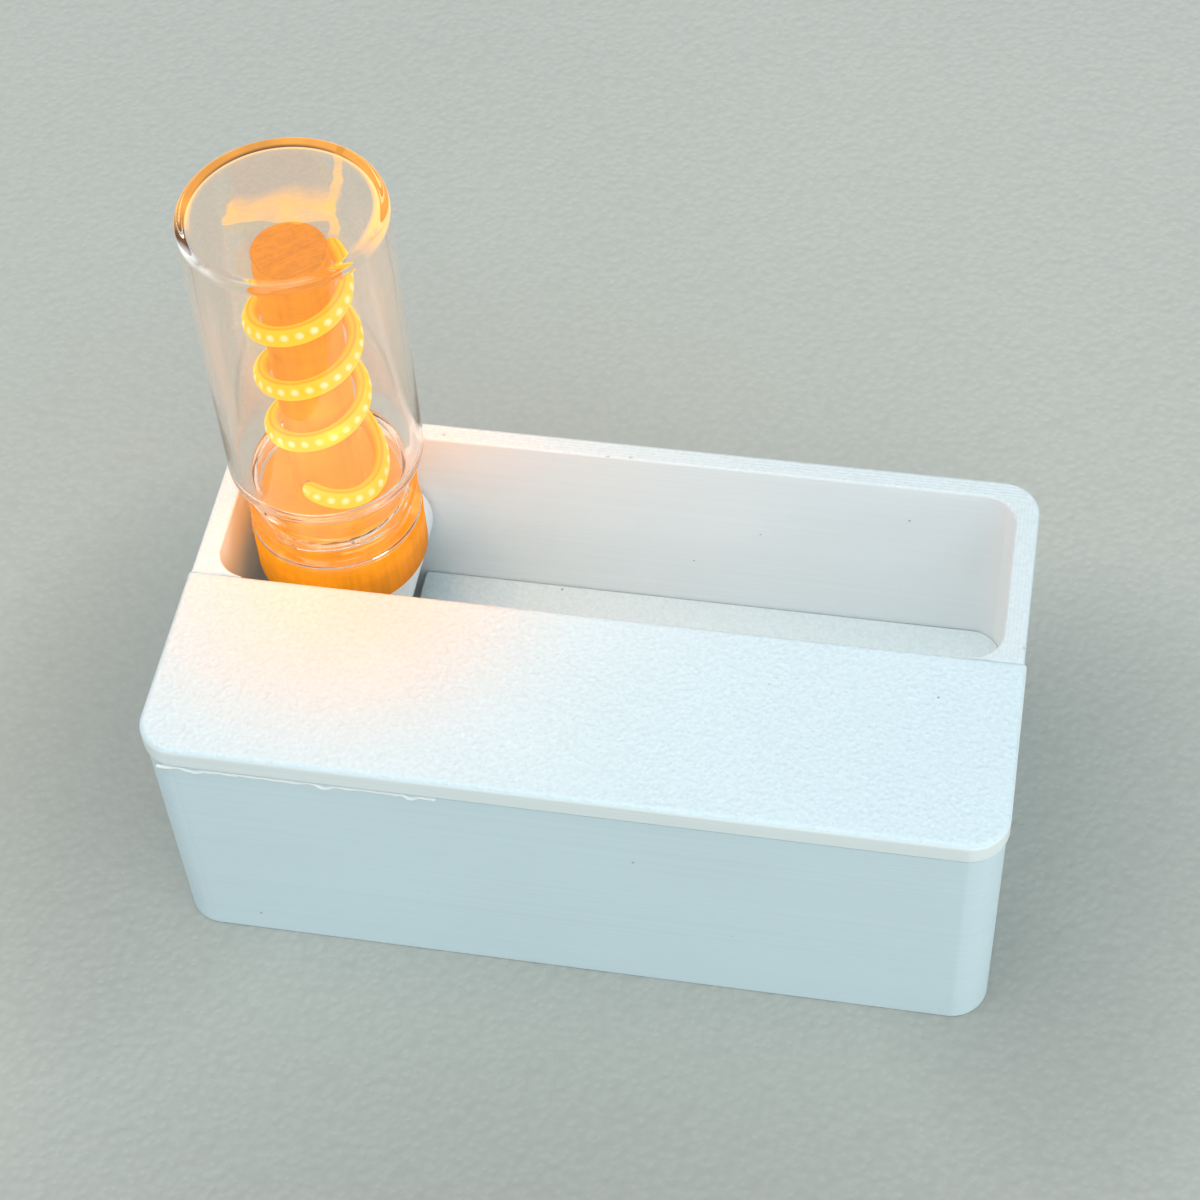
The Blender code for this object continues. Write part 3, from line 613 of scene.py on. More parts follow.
def glass_look():
    """Clear glass, faintly warm, with the lamp's light painted into its far rim, closed end, inner wall and
    threads, and a painted white highlight on the near rim.
    """
    look = Look("vial_glass", (1.0, 0.965, 0.92), Roughness=0.0, IOR=1.5)
    look.set("Transmission Weight", 1.0)
    look.set("Specular IOR Level", 0.4)
    look.bump(look.noise(120, 1.0), 0.02 * MM)
    radius = VIAL_HIGH.x - AXIS.x
    top = VIAL_HIGH.z
    warp = look.vary(-0.9 * MM, 0.9 * MM, 210, 2.0)
    fine_warp = look.vary(-0.25 * MM, 0.25 * MM, 700, 2.0)
    x = look.minus(look.axis("X"), AXIS.x)
    y = look.minus(look.axis("Y"), AXIS.y)
    z = look.axis("Z")
    reach = look.reach()

    # The far rim painted with an orange glow, and a painted white highlight on the near one
    rim = look.times(
        look.spread(z, top - 1.5 * MM, top - 0.7 * MM),
        look.spread(reach, radius - 1.9 * MM, radius - 1.4 * MM),
        look.spread(look.plus(y, warp), -5 * MM, -1.5 * MM),
        look.spread(look.noise(160, 2.0), 0.35, 0.65, 0.7, 1.0),
    )
    front_left = look.plus(look.times(x, -0.65), look.times(y, -0.76))
    flash = look.times(
        look.spread(front_left, radius - 1.0 * MM, radius - 0.4 * MM),
        look.spread(z, top - 0.9 * MM, top - 0.4 * MM),
        look.spread(look.noise(260, 2.0), 0.35, 0.6, 0.2, 1.0),
    )

    # The closed end: a painted band of light across it, and a painted streak at the band's right
    end = look.spread(z, top - 0.7 * MM, top - 0.5 * MM)
    slope = look.plus(y, look.times(x, -END_LEAN), warp)
    low = look.spread(slope, -1.8 * MM, -1.6 * MM)
    high = look.spread(slope, 1.2 * MM, 3.6 * MM, 1.0, 0.0)
    wide = look.size(look.plus(x, fine_warp))
    band = look.times(low, high, look.spread(wide, 5.6 * MM, 5.9 * MM, 1.0, 0.0))
    lean = look.plus(x, look.times(y, END_LEAN), look.times(warp, 0.7))
    streak = look.times(
        look.spread(look.size(look.minus(lean, 6.1 * MM)), 0.45 * MM, 0.6 * MM, 1.0, 0.0),
        look.spread(y, -3.5 * MM, -2.5 * MM),
    )
    glint = look.maths("MAXIMUM", band, streak)
    glint = look.times(glint, end, look.vary(0.5, 1.0, 330, 3.0))

    # Painted warm reflections inside the wall, and painted glints along the threads
    warm_reflection = look.times(
        look.spread(look.noise(1.0, 2.0, 0.5, look.stretched(170, 170, 28)), 0.5, 0.72),
        look.spread(reach, radius - 0.9 * MM, radius - 1.1 * MM),
        look.spread(z, SHOULDER_Z, SHOULDER_Z + 6 * MM),
        look.spread(z, top - 12 * MM, top - 4 * MM, 1.0, 0.0),
    )
    thread_glints = look.times(
        look.spread(look.noise(1.0, 2.0, 0.5, look.stretched(110, 110, 1100)), 0.64, 0.72, 0.0, 0.8),
        look.spread(z, SHOULDER_Z - 5 * MM, SHOULDER_Z - 4 * MM, 1.0, 0.0),
        look.spread(reach, 9.0 * MM, 9.2 * MM),
    )

    # All of this painted light goes in as emission.
    lit = look.blend(rim, (0.020, 0.008, 0.002), (0.92, 0.40, 0.06))
    lit = look.blend(glint, lit, (0.62, 0.26, 0.03))
    lit = look.blend(warm_reflection, lit, (0.26, 0.10, 0.03))
    lit = look.blend(flash, lit, (0.60, 0.66, 0.70))
    lit = look.blend(thread_glints, lit, (0.55, 0.36, 0.16))
    look.set("Emission Color", lit)
    look.set("Emission Strength", 1.0)
    # The painted rim and end light also tint the glass orange.
    warm = look.maths("MAXIMUM", glint, rim)
    look.set("Base Color", look.blend(warm, (1.0, 0.965, 0.92), (1.0, 0.62, 0.22)))
    return look


def metal(name, colour, rough=0.3):
    look = Look(name, colour, Metallic=1.0)
    scratches = look.noise(1.0, 3.0, 0.6, look.stretched(900, 900, 90))
    look.set("Roughness", look.spread(scratches, *NOISE, rough - 0.12, rough + 0.15))
    dull = tuple(0.7 * part for part in colour)
    look.set("Base Color", look.blend(look.spread(look.noise(300), 0.4, 0.75), colour, dull))
    look.bump(scratches, 0.01 * MM)
    return look


def plastic(name, colour, rough=0.45, grain=0.02 * MM):
    look = Look(name, colour)
    worn = tuple(min(1.0, part * 1.25 + 0.01) for part in colour)
    look.set("Base Color", look.blend(look.spread(look.noise(500), 0.4, 0.7), colour, worn))
    look.set("Roughness", look.vary(rough - 0.1, rough + 0.12, 900))
    look.bump(look.noise(2500, 2.0), grain)
    return look


def board_look():
    """Solder mask over copper tracks."""
    look = Look("board_mask", (0.02, 0.16, 0.08))
    tracks = look.cells(420, look.stretched(1, 1, 0.01), "DISTANCE_TO_EDGE")
    copper = look.spread(tracks, 0.06, 0.09)
    look.set("Base Color", look.blend(copper, (0.05, 0.30, 0.15), (0.015, 0.13, 0.07)))
    look.set("Roughness", look.vary(0.22, 0.42, 800))
    look.bump(copper, 0.03 * MM)
    return look


def cell_look():
    """Shrink wrap with fine wrinkles near its ends."""
    look = Look("cell_wrap_film", (0.08, 0.30, 0.55))
    wrinkles = look.noise(1.0, 3.0, 0.6, look.stretched(120, 700, 700))
    creased = look.spread(wrinkles, 0.35, 0.7)
    look.set("Base Color", look.blend(creased, (0.06, 0.26, 0.50), (0.10, 0.36, 0.62)))
    look.set("Roughness", look.spread(wrinkles, *NOISE, 0.25, 0.45))
    look.bump(wrinkles, 0.05 * MM)
    return look


def glue_look():
    look = Look("glue", (0.92, 0.96, 0.94), Roughness=0.15, IOR=1.45)
    look.set("Base Color", look.blend(look.noise(900), (0.88, 0.94, 0.92), (0.98, 0.99, 0.97)))
    look.bump(look.noise(1500, 2.0), 0.05 * MM)
    return look


GLOW_PAINTED_LOOK = lit_print()
FILAMENT_LOOK = filament_look()
GLASS_LOOK = glass_look()
GLUE_LOOK = glue_look()
STEEL_LOOK = metal("steel_pin", (0.62, 0.62, 0.60), 0.28)
NICKEL_LOOK = metal("nickel_strip", (0.70, 0.67, 0.60), 0.35)
BLACK_LOOK = plastic("black_plastic_moulded", (0.025, 0.025, 0.027), 0.5)
TONGUE_LOOK = plastic("tongue_plastic", (0.06, 0.06, 0.065), 0.4)
CERAMIC_LOOK = plastic("resistor_paint", (0.72, 0.62, 0.45), 0.45)
RED_LOOK = plastic("red_insulation", (0.60, 0.04, 0.03), 0.4)
DARK_WIRE_LOOK = plastic("black_insulation", (0.035, 0.035, 0.038), 0.4)
CABLE_LOOK = plastic("cable_jacket", (0.75, 0.75, 0.73), 0.45)
BOARD_LOOK = board_look()
CELL_LOOK = cell_look()


# Box


def upward_above(height):
    """A test for faces that look up and lie above the height."""
    return lambda face: face.normal.z > 0.7 and face.center.z > height


def in_trough(face):
    at = face.center
    slack = 0.05 * MM
    return abs(at.x) < INNER_X + slack and TROUGH_FRONT - slack < at.y < TROUGH_BACK + slack


def make_case_shell():
    shell = slab(
        "case_shell",
        BODY_LOW,
        BODY_HIGH,
        (CORNER,) * 4,
        rounded_levels(0, BODY_HIGH.z, 0.3 * MM, 0.5 * MM),
        [WALL_LOOK],
        steps=16,
    )
    mouth, above = BODY_HIGH.z, BODY_HIGH.z + 5 * MM
    square = (0.3 * MM,) * 4
    seat = slab(
        "lid_seat",
        (-CAD_HIGH.x * 2, CAD_LOW.y * 2),
        (CAD_HIGH.x * 2, TROUGH_FRONT + 0.03 * MM),
        square,
        [(0, LID_BOTTOM - SEAM), (0, above)],
    )
    bay = slab(
        "bay",
        (-INNER_X, BAY_FRONT),
        (INNER_X, BAY_BACK),
        (2 * MM,) * 4,
        [(0, FLOOR), (0, above)],
    )
    trough = slab(
        "trough",
        (-INNER_X, TROUGH_FRONT),
        (INNER_X, TROUGH_BACK),
        (TROUGH_CORNER,) * 4,
        flared_levels(FLOOR, above, mouth, 0.3 * MM),
        steps=16,
    )
    bush_hole = rod("bush_hole", BUSH_HOLE, DIVIDER + 2 * MM, (AXIS.x, BAY_BACK - MM, PIVOT_Z), 64)
    pin_hole = lathe(
        "pin_hole",
        [
            (0, 0),
            (PIN_HOLE, 0),
            (PIN_HOLE, BACK_WALL + MM),
            (1.9 * MM, BACK_WALL + 1.3 * MM),
            (0, 5 * MM),
        ],
        (),
        (AXIS.x, TROUGH_BACK - 1.2 * MM, PIVOT_Z),
        48,
        "Y",
    )
    combine(shell, [seat, trough, bay, bush_hole, pin_hole, usb_cutter(), *switch_cutters()])
    # The trough's faces take the lighter copy of the print: painted light.
    paint(shell, LIGHTER_INNER_LOOK, in_trough)
    paint(shell, RIM_LOOK, upward_above(BODY_HIGH.z - 0.6 * MM))
    even_normals(shell)
    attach(shell, "case")
    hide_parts("case_body")


def sideways(made, place):
    """Turns a piece built upright so that its top faces -X, and puts it at place."""
    made.data.transform(Matrix.Translation(place) @ Matrix.Rotation(-math.pi / 2, 4, "Y"))
    return made


def usb_middle():
    """The middle of the socket's mouth, in the left end wall's outer face."""
    return Vector((BODY_LOW.x, (USB_LOW.y + USB_HIGH.y) / 2, (USB_LOW.z + USB_HIGH.z) / 2))


def usb_cutter():
    half, high = 4.9 * MM, 1.95 * MM
    levels = flared_levels(-5 * MM, 3 * MM, 0, 0.3 * MM)
    made = slab("usb_hole", (-high, -half), (high, half), (high,) * 4, levels)
    return sideways(made, usb_middle())


def switch_middle():
    return Vector((BODY_LOW.x, (SWITCH_LOW.y + SWITCH_HIGH.y) / 2, (SWITCH_LOW.z + SWITCH_HIGH.z) / 2))


def switch_cutters():
    recess = slab(
        "switch_recess",
        (-2.2 * MM, -4.5 * MM),
        (2.2 * MM, 4.5 * MM),
        (1 * MM,) * 4,
        flared_levels(-1.4 * MM, 3 * MM, 0, 0.3 * MM),
    )
    slot = slab(
        "switch_slot", (-1.1 * MM, -2.6 * MM), (1.1 * MM, 2.6 * MM), (0.4 * MM,) * 4, [(0, -4 * MM), (0, 0)]
    )
    return [sideways(recess, switch_middle()), sideways(slot, switch_middle())]


def make_lid_cover():
    corner = CORNER + LID_OVERHANG
    cover = slab(
        "lid_cover",
        LID_LOW,
        LID_HIGH,
        (0.3 * MM, 0.3 * MM, corner, corner),
        rounded_levels(LID_BOTTOM, LID_HIGH.z, 0.35 * MM, 0.7 * MM),
        [LIGHTER_EDGE_LOOK],
        steps=16,
    )
    inset = 0.3 * MM
    lip = slab(
        "lid_lip",
        (-INNER_X + inset, BAY_FRONT + inset),
        (INNER_X - inset, BAY_BACK - inset),
        (1.7 * MM,) * 4,
        [(0.2 * MM, LID_LOW.z), (0, LID_LOW.z + 0.2 * MM), (0, LID_BOTTOM + MM)],
    )
    inset += 1.6 * MM
    hollow = slab(
        "lip_hollow",
        (-INNER_X + inset, BAY_FRONT + inset),
        (INNER_X - inset, BAY_BACK - inset),
        (0.8 * MM,) * 4,
        [(0, LID_LOW.z - MM), (0, LID_BOTTOM)],
    )
    combine(cover, [lip], "UNION")
    combine(cover, [hollow])
    paint(cover, LID_LOOK, upward_above(LID_HIGH.z - 0.3 * MM))
    even_normals(cover)
    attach(cover, "case")
    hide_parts("case_lid")


def make_trough_plate():
    corner = TROUGH_CORNER - SEAM
    snug = SEAM - 0.08 * MM
    plate = slab(
        "trough_plate",
        (PLATE_LOW.x, PLATE_LOW.y - snug),
        (PLATE_HIGH.x + snug, PLATE_HIGH.y + snug),
        (corner, 0.5 * MM, 0.5 * MM, corner),
        rounded_levels(PLATE_LOW.z, PLATE_HIGH.z, 0.2 * MM, 0.3 * MM),
        [WALL_LOOK],
    )
    paint(plate, PLATE_LOOK, upward_above(PLATE_HIGH.z - 0.2 * MM))
    even_normals(plate)
    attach(plate, "case")
    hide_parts("trough_floor")


# Lamp


def make_lamp_foot():
    depth = FOOT_HIGH.y - FOOT_LOW.y
    bend = 0.4 * MM
    profile = soften([(0, 0), (KNUCKLE_RADIUS, 0), (KNUCKLE_RADIUS, depth), (0, depth)], bend)
    # The foot takes the lighter copy of the print too: painted light.
    foot = lathe("lamp_foot", profile, [LIGHTER_INNER_LOOK], (AXIS.x, FOOT_LOW.y, PIVOT_Z), 128, "Y")
    flat_z = FOOT_HIGH.z - MM
    flat = slab(
        "foot_flat",
        (AXIS.x - 20 * MM, FOOT_LOW.y - MM),
        (AXIS.x + 20 * MM, FOOT_HIGH.y + MM),
        (MM,) * 4,
        [(0, flat_z), (0, FOOT_HIGH.z + MM)],
    )
    disc = lathe(
        "foot_disc",
        soften(
            [
                (0, FOOT_HIGH.z),
                (DISC_RADIUS, FOOT_HIGH.z),
                (DISC_RADIUS, FOOT_HIGH.z - DISC_THICKNESS),
                (0, FOOT_HIGH.z - DISC_THICKNESS),
            ],
            0.3 * MM,
        ),
        (),
        (AXIS.x, AXIS.y, 0),
    )
    bush_seat = rod("bush_seat", BUSH_HOLE, 6.6 * MM, (AXIS.x, FOOT_LOW.y - MM, PIVOT_Z), 64)
    cable_start = (AXIS.x, FOOT_LOW.y + 5 * MM, PIVOT_Z)
    cable_way = rod("cable_way", 2 * MM, AXIS.y - FOOT_LOW.y - 3.5 * MM, cable_start, 48)
    lead_start = (AXIS.x, AXIS.y, PIVOT_Z - MM)
    lead_way = rod("lead_way", BORE_RADIUS, FOOT_HIGH.z - PIVOT_Z + 2 * MM, lead_start, 48, "Z")
    pin_seat = rod("pin_seat", PIN_HOLE, 7 * MM, (AXIS.x, FOOT_HIGH.y - 6 * MM, PIVOT_Z), 48)
    combine(foot, [flat])
    combine(foot, [disc], "UNION")
    combine(foot, [bush_seat, cable_way, lead_way, pin_seat])
    even_normals(foot)
    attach(foot, "lamp")
    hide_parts("lamp_base")


def make_light_collar():
    radius = (PLUG_HIGH.x - PLUG_LOW.x) / 2
    socket = POST_RADIUS + SEAM
    low = PLUG_LOW.z
    outer = [
        (socket, PLUG_HIGH.z),
        (PLUG_RADIUS, PLUG_HIGH.z),
        (PLUG_RADIUS, COLLAR_TOP),
        (radius, COLLAR_TOP),
        (radius, low),
        (6 * MM, low),
        (6 * MM, low + 2.2 * MM),
        (BORE_RADIUS, low + 2.2 * MM),
        (BORE_RADIUS, COLLAR_TOP),
        (socket, COLLAR_TOP),
    ]
    bends = [0, 0.4 * MM, 0, 0.5 * MM, 0.2 * MM, 0.2 * MM, 0, 0, 0, 0]
    collar = lathe(
        "light_collar",
        soften(outer, bends, closed=True),
        [GLOW_PAINTED_LOOK],
        (AXIS.x, AXIS.y, 0),
        shift=lambda angle, r, z: 0.03 * MM * math.sin(2 * math.pi * z / (2 * LAYER)) if r > 6.5 * MM else 0,
    )
    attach(collar, "lamp")
    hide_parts("light_plug")


def make_light_stem():
    profile = soften(
        [
            (0, POST_HIGH.z),
            (POST_RADIUS, POST_HIGH.z),
            (POST_RADIUS, POST_LOW.z),
            (BORE_RADIUS, POST_LOW.z),
            (BORE_RADIUS, POST_HIGH.z - 1.5 * MM),
            (0, POST_HIGH.z - 1.5 * MM),
        ],
        [0, 0.35 * MM, 0.2 * MM, 0.2 * MM, 0, 0],
    )
    stem = lathe("light_stem", profile, [GLOW_PAINTED_LOOK], (AXIS.x, AXIS.y, 0), 96)
    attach(stem, "lamp")
    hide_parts("light_post")


def around(degrees, radius, z):
    """A point at an angle about the lamp's axis, counted from +X towards +Y."""
    angle = math.radians(degrees)
    return Vector((AXIS.x + radius * math.cos(angle), AXIS.y + radius * math.sin(angle), z))


def coil_height(degrees):
    """Along the coil: level while its lowest turn droops, then rising by COIL_PITCH a turn."""
    regular = HELIX_Z + COIL_PITCH * degrees / 360
    if degrees >= COIL_REGULAR:
        return regular
    done = (degrees - COIL_START) / (COIL_REGULAR - COIL_START)
    joined = HELIX_Z + COIL_PITCH * COIL_REGULAR / 360
    droop = 1.7 * MM * math.sin(math.pi * min(1.0, 1.15 * done))
    return COIL_START_Z + (joined - COIL_START_Z) * done**3 - droop


def coil_radius(degrees):
    """The lowest turn stands a little off the post."""
    if degrees >= COIL_REGULAR:
        return COIL_RADIUS
    done = (degrees - COIL_START) / (COIL_REGULAR - COIL_START)
    return COIL_RADIUS + 1 * MM * math.sin(math.pi * done)


def coil_point(degrees):
    return around(degrees, coil_radius(degrees), coil_height(degrees))


def make_filament_coil():
    count = round((COIL_END - COIL_START) / 4)
    angles = [COIL_START + (COIL_END - COIL_START) * i / count for i in range(count + 1)]
    route = [coil_point(angle) for angle in angles]
    sides = 24
    coil = sweep(
        "filament_coil",
        route,
        [FILAMENT_LOOK],
        FILAMENT_WIDTH / 2,
        sides=sides,
        squash=FILAMENT_THICKNESS / FILAMENT_WIDTH,
    )
    chart(coil.data, route, sides)
    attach(coil, "lamp")
    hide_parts("led_filament")


def chart(mesh, route, sides):
    """Lays a map on a sweep: chips passed along it, and the share of a turn about it from its inner side."""
    passed = [0.0]
    for one, other in zip(route, route[1:]):
        passed.append(passed[-1] + (other - one).length / CHIP_PITCH)
    layer = mesh.uv_layers.new(name="chips")
    for face in mesh.polygons:
        turns = [mesh.loops[i].vertex_index % sides for i in face.loop_indices]
        wraps = 0 in turns and sides - 1 in turns
        for i, turn in zip(face.loop_indices, turns):
            ring = min(mesh.loops[i].vertex_index // sides, len(route) - 1)
            share = 1.0 if wraps and turn == 0 else turn / sides
            layer.data[i].uv = (passed[ring], share)


def make_filament_hooks():
    """The metal ends, which turn in to the post."""
    for name, end, way in (("lower", COIL_START, -1), ("upper", COIL_END, 1)):
        z = COIL_START_Z if name == "lower" else coil_height(COIL_END)
        route = smooth_route(
            [
                around(end + way * 1, coil_radius(end) - 0.1 * MM, z),
                around(end + way * 7, COIL_RADIUS - 0.2 * MM, z + 0.1 * MM),
                around(end + way * 12, POST_RADIUS + 0.3 * MM, z),
                around(end + way * 12, BORE_RADIUS + 0.6 * MM, z),
            ]
        )
        hook = sweep(f"filament_hook_{name}", route, [NICKEL_LOOK], 0.3 * MM, 12)
        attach(hook, "lamp")
        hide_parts(f"filament_{name}_tab")


def thread_ridge(angle, radius, z):
    """How far the vial's thread stands out at an angle and height on its outer side."""
    if not NECK_RADIUS - 0.01 * MM < radius < NECK_RADIUS + 0.01 * MM:
        return 0
    total = 0
    for turn in range(3):
        along = angle / (2 * math.pi) + turn
        fade = min(1.0, max(0.0, 6 * along), max(0.0, 6 * (THREAD_TURNS - along)))
        distance = (z - THREAD_START - THREAD_PITCH * along) / (0.75 * MM)
        if abs(distance) < 1 and fade > 0:
            total += fade * THREAD_DEPTH * math.cos(math.pi * distance / 2) ** 1.3
    return total


def make_clear_vial():
    lip = VIAL_LOW.z
    radius = (VIAL_HIGH.x - VIAL_LOW.x) / 2
    inner = radius - GLASS_WALL
    top = VIAL_HIGH.z
    rise = [(NECK_RADIUS, lip + 1.35 * MM + 0.1 * MM * i) for i in range(79)]
    outside = [
        *soften(
            [(0, top - 0.3 * MM), (radius - 3 * MM, top - 0.02 * MM), (radius, top), (radius, top - 8 * MM)],
            [0, 2 * MM, 0.9 * MM, 0],
            10,
        ),
        *soften(
            [
                (radius, SHOULDER_Z + 4 * MM),
                (radius, SHOULDER_Z - 1.2 * MM),
                (NECK_RADIUS, SHOULDER_Z - 2.2 * MM),
            ],
            2.2 * MM,
            10,
        ),
        *reversed(rise),
        *soften(
            [
                (NECK_RADIUS, lip + 1.3 * MM),
                (LIP_RADIUS, lip + 1.1 * MM),
                (LIP_RADIUS, lip),
                (NECK_BORE, lip),
            ],
            [0, 0.5 * MM, 0.5 * MM, 0],
            6,
        ),
    ]
    inside = soften(
        [
            (NECK_BORE, lip + 0.1 * MM),
            (NECK_BORE, SHOULDER_Z - 3 * MM),
            (inner, SHOULDER_Z + 0.4 * MM),
            (inner, top - GLASS_END),
            (0, top - GLASS_END - 0.3 * MM),
        ],
        [0, 1.2 * MM, 1.5 * MM, 0.8 * MM, 0],
        10,
    )
    vial = lathe(
        "clear_vial", outside + inside, [GLASS_LOOK], (AXIS.x, AXIS.y, 0), 192, shift=thread_ridge
    )
    vial.visible_shadow = False
    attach(vial, "vial")
    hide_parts("glass_vial")


# Small parts


def make_seam_glue():
    """Glue squeezed out along part of the lid's front seam, in uneven blobs."""
    start, end = BODY_LOW.x + 2.4 * MM, BODY_LOW.x + 35 * MM
    blobs = ((-43.2 * MM, 1.1 * MM), (-27.6 * MM, 0.8 * MM), (-17.5 * MM, 0.7 * MM))
    count = 150
    route, widths = [], []
    for i in range(count + 1):
        x = start + (end - start) * i / count
        swell = sum(math.exp(-(((x - at) / size) ** 2)) for at, size in blobs)
        uneven = noise.noise(Vector((x * 700, 3.1, 0.7))) + 0.6 * noise.noise(Vector((x * 2300, 1.3, 5.2)))
        wide = 0.20 * MM + 0.08 * MM * uneven + 0.10 * MM * min(1.0, swell)
        widths.append(max(0.06 * MM, min(wide, 0.30 * MM)))
        hang = 0.55 * MM + 0.14 * MM * uneven + 0.50 * MM * min(1.0, swell)
        route.append((x, BODY_LOW.y + 0.02 * MM, LID_BOTTOM - hang))
    glue = sweep("seam_glue", route, [GLUE_LOOK], lambda share: widths[round(share * count)], 12)
    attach(glue, "case")


def make_pivot_bush():
    """The hollow bush that the lamp turns on in front, with its flange in the bay."""
    length = BUSH_HIGH.y - BUSH_LOW.y
    flange = (BUSH_HIGH.z - BUSH_LOW.z) / 2
    profile = soften(
        [
            (1.5 * MM, 0),
            (flange, 0),
            (flange, 1.5 * MM),
            (3 * MM, 1.5 * MM),
            (3 * MM, length),
            (1.5 * MM, length),
        ],
        0.25 * MM,
        4,
        closed=True,
    )
    bush = lathe("pivot_bush", profile, [WALL_LOOK], (AXIS.x, BUSH_LOW.y, PIVOT_Z), 72, "Y")
    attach(bush, "lamp")
    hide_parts("hinge_bush")


def make_pivot_pin():
    """The steel pin at the back, with chamfered ends and a drilled centre."""
    length = PIN_HIGH.y - PIN_LOW.y
    radius = (PIN_HIGH.z - PIN_LOW.z) / 2
    profile = [
        (0, 0),
        *soften([(radius - 0.35 * MM, 0), (radius, 0.35 * MM), (radius, length - 0.35 * MM)], 0.1 * MM, 3),
        *soften([(radius - 0.35 * MM, length), (0.5 * MM, length)], 0, 1),
        (0, length - 0.4 * MM),
    ]
    pin = lathe("pivot_pin", profile, [STEEL_LOOK], (AXIS.x, PIN_LOW.y, PIVOT_Z), 64, "Y")
    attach(pin, "case")
    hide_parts("hinge_pin")


def make_usb_shell():
    """The charging socket: a rolled steel shell, and the tongue inside it."""
    size = USB_HIGH - USB_LOW
    wide, high, depth = size.y / 2, size.z / 2, size.x
    round_end = (high - 0.02 * MM,) * 4
    place = (USB_LOW.x, usb_middle().y, usb_middle().z)
    levels = rounded_levels(-depth, 0, 0.1 * MM, 0.12 * MM)
    shell = slab("usb_shell", (-high, -wide), (high, wide), round_end, levels)
    wall = 0.3 * MM
    hollow = slab(
        "usb_hollow",
        (-high + wall, -wide + wall),
        (high - wall, wide - wall),
        (high - wall - 0.02 * MM,) * 4,
        flared_levels(-depth + 1.2 * MM, MM, 0, 0.1 * MM),
    )
    combine(shell, [hollow])
    coat(shell, STEEL_LOOK)
    sideways(shell, place)
    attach(shell, "case")
    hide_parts("usb_socket")

    tongue = slab(
        "usb_tongue",
        (-0.33 * MM, -wide + 1.3 * MM),
        (0.33 * MM, wide - 1.3 * MM),
        (0.2 * MM,) * 4,
        rounded_levels(-depth + MM, -0.7 * MM, 0.05 * MM, 0.2 * MM),
        [TONGUE_LOOK],
    )
    sideways(tongue, place)
    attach(tongue, "case")


def make_switch_parts():
    """The slide switch: a folded frame behind the wall, and its ribbed knob."""
    size = SWITCH_HIGH - SWITCH_LOW
    wide, high, depth = size.y / 2, size.z / 2, size.x
    place = (SWITCH_LOW.x, switch_middle().y, switch_middle().z)
    frame_piece = slab(
        "switch_frame",
        (-high, -wide),
        (high, wide),
        (0.5 * MM,) * 4,
        rounded_levels(-depth, 0, 0.1 * MM, 0.2 * MM),
    )
    slot = slab(
        "frame_slot",
        (-MM, -2.2 * MM),
        (MM, 2.2 * MM),
        (0.15 * MM,) * 4,
        flared_levels(-1.4 * MM, MM, 0, 0.1 * MM),
    )
    fold = slab(
        "frame_fold",
        (-high - MM, -wide + 1.2 * MM),
        (-high + 0.3 * MM, wide - 1.2 * MM),
        (0.1 * MM,) * 4,
        [(0, -depth + 0.8 * MM), (0, -depth + 1.1 * MM)],
    )
    combine(frame_piece, [slot, fold])
    coat(frame_piece, STEEL_LOOK)
    sideways(frame_piece, place)
    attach(frame_piece, "case")
    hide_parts("switch_body")

    size = LEVER_HIGH - LEVER_LOW
    middle = (LEVER_LOW + LEVER_HIGH) / 2
    wide, high = size.y / 2, size.z / 2
    knob = slab(
        "switch_knob",
        (-high, -wide),
        (high, wide),
        (0.15 * MM,) * 4,
        rounded_levels(-size.x, -0.25 * MM, 0.1 * MM, 0.15 * MM),
        [BLACK_LOOK],
    )
    ribs = []
    for number in (-1, 0, 1):
        y = number * 0.5 * MM
        ribs.append(
            slab(
                f"rib_{number + 1}",
                (-high + 0.1 * MM, y - 0.12 * MM),
                (high - 0.1 * MM, y + 0.12 * MM),
                (0.08 * MM,) * 4,
                rounded_levels(-0.6 * MM, 0, 0.02 * MM, 0.08 * MM, 3),
            )
        )
    combine(knob, ribs, "UNION")
    coat(knob, BLACK_LOOK)
    sideways(knob, (LEVER_LOW.x, middle.y, middle.z))
    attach(knob, "switch")
    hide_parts("switch_lever")


# Carried-over nodes

NODE_LOOKS = {
    "lamp_cable_moving": CABLE_LOOK,
    "lamp_cable_fixed": CABLE_LOOK,
    "lamp_lead_lower": DARK_WIRE_LOOK,
    "lamp_lead_upper": DARK_WIRE_LOOK,
    "lithium_cell": CELL_LOOK,
    "cell_cradle": BLACK_LOOK,
    "cell_tab_positive": NICKEL_LOOK,
    "cell_tab_negative": NICKEL_LOOK,
    "cell_lead_positive": RED_LOOK,
    "cell_lead_negative": DARK_WIRE_LOOK,
    "switch_lead_1": RED_LOOK,
    "switch_lead_2": RED_LOOK,
    "charge_board": BOARD_LOOK,
    "charge_chip": BLACK_LOOK,
    "series_resistor": CERAMIC_LOOK,
    "board_screw_1": STEEL_LOOK,
    "board_screw_2": STEEL_LOOK,
}


def dress_nodes():
    for name, look in NODE_LOOKS.items():
        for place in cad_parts[name].material_slots:
            place.link = "OBJECT"
            place.material = look.material


# Floor, light and camera


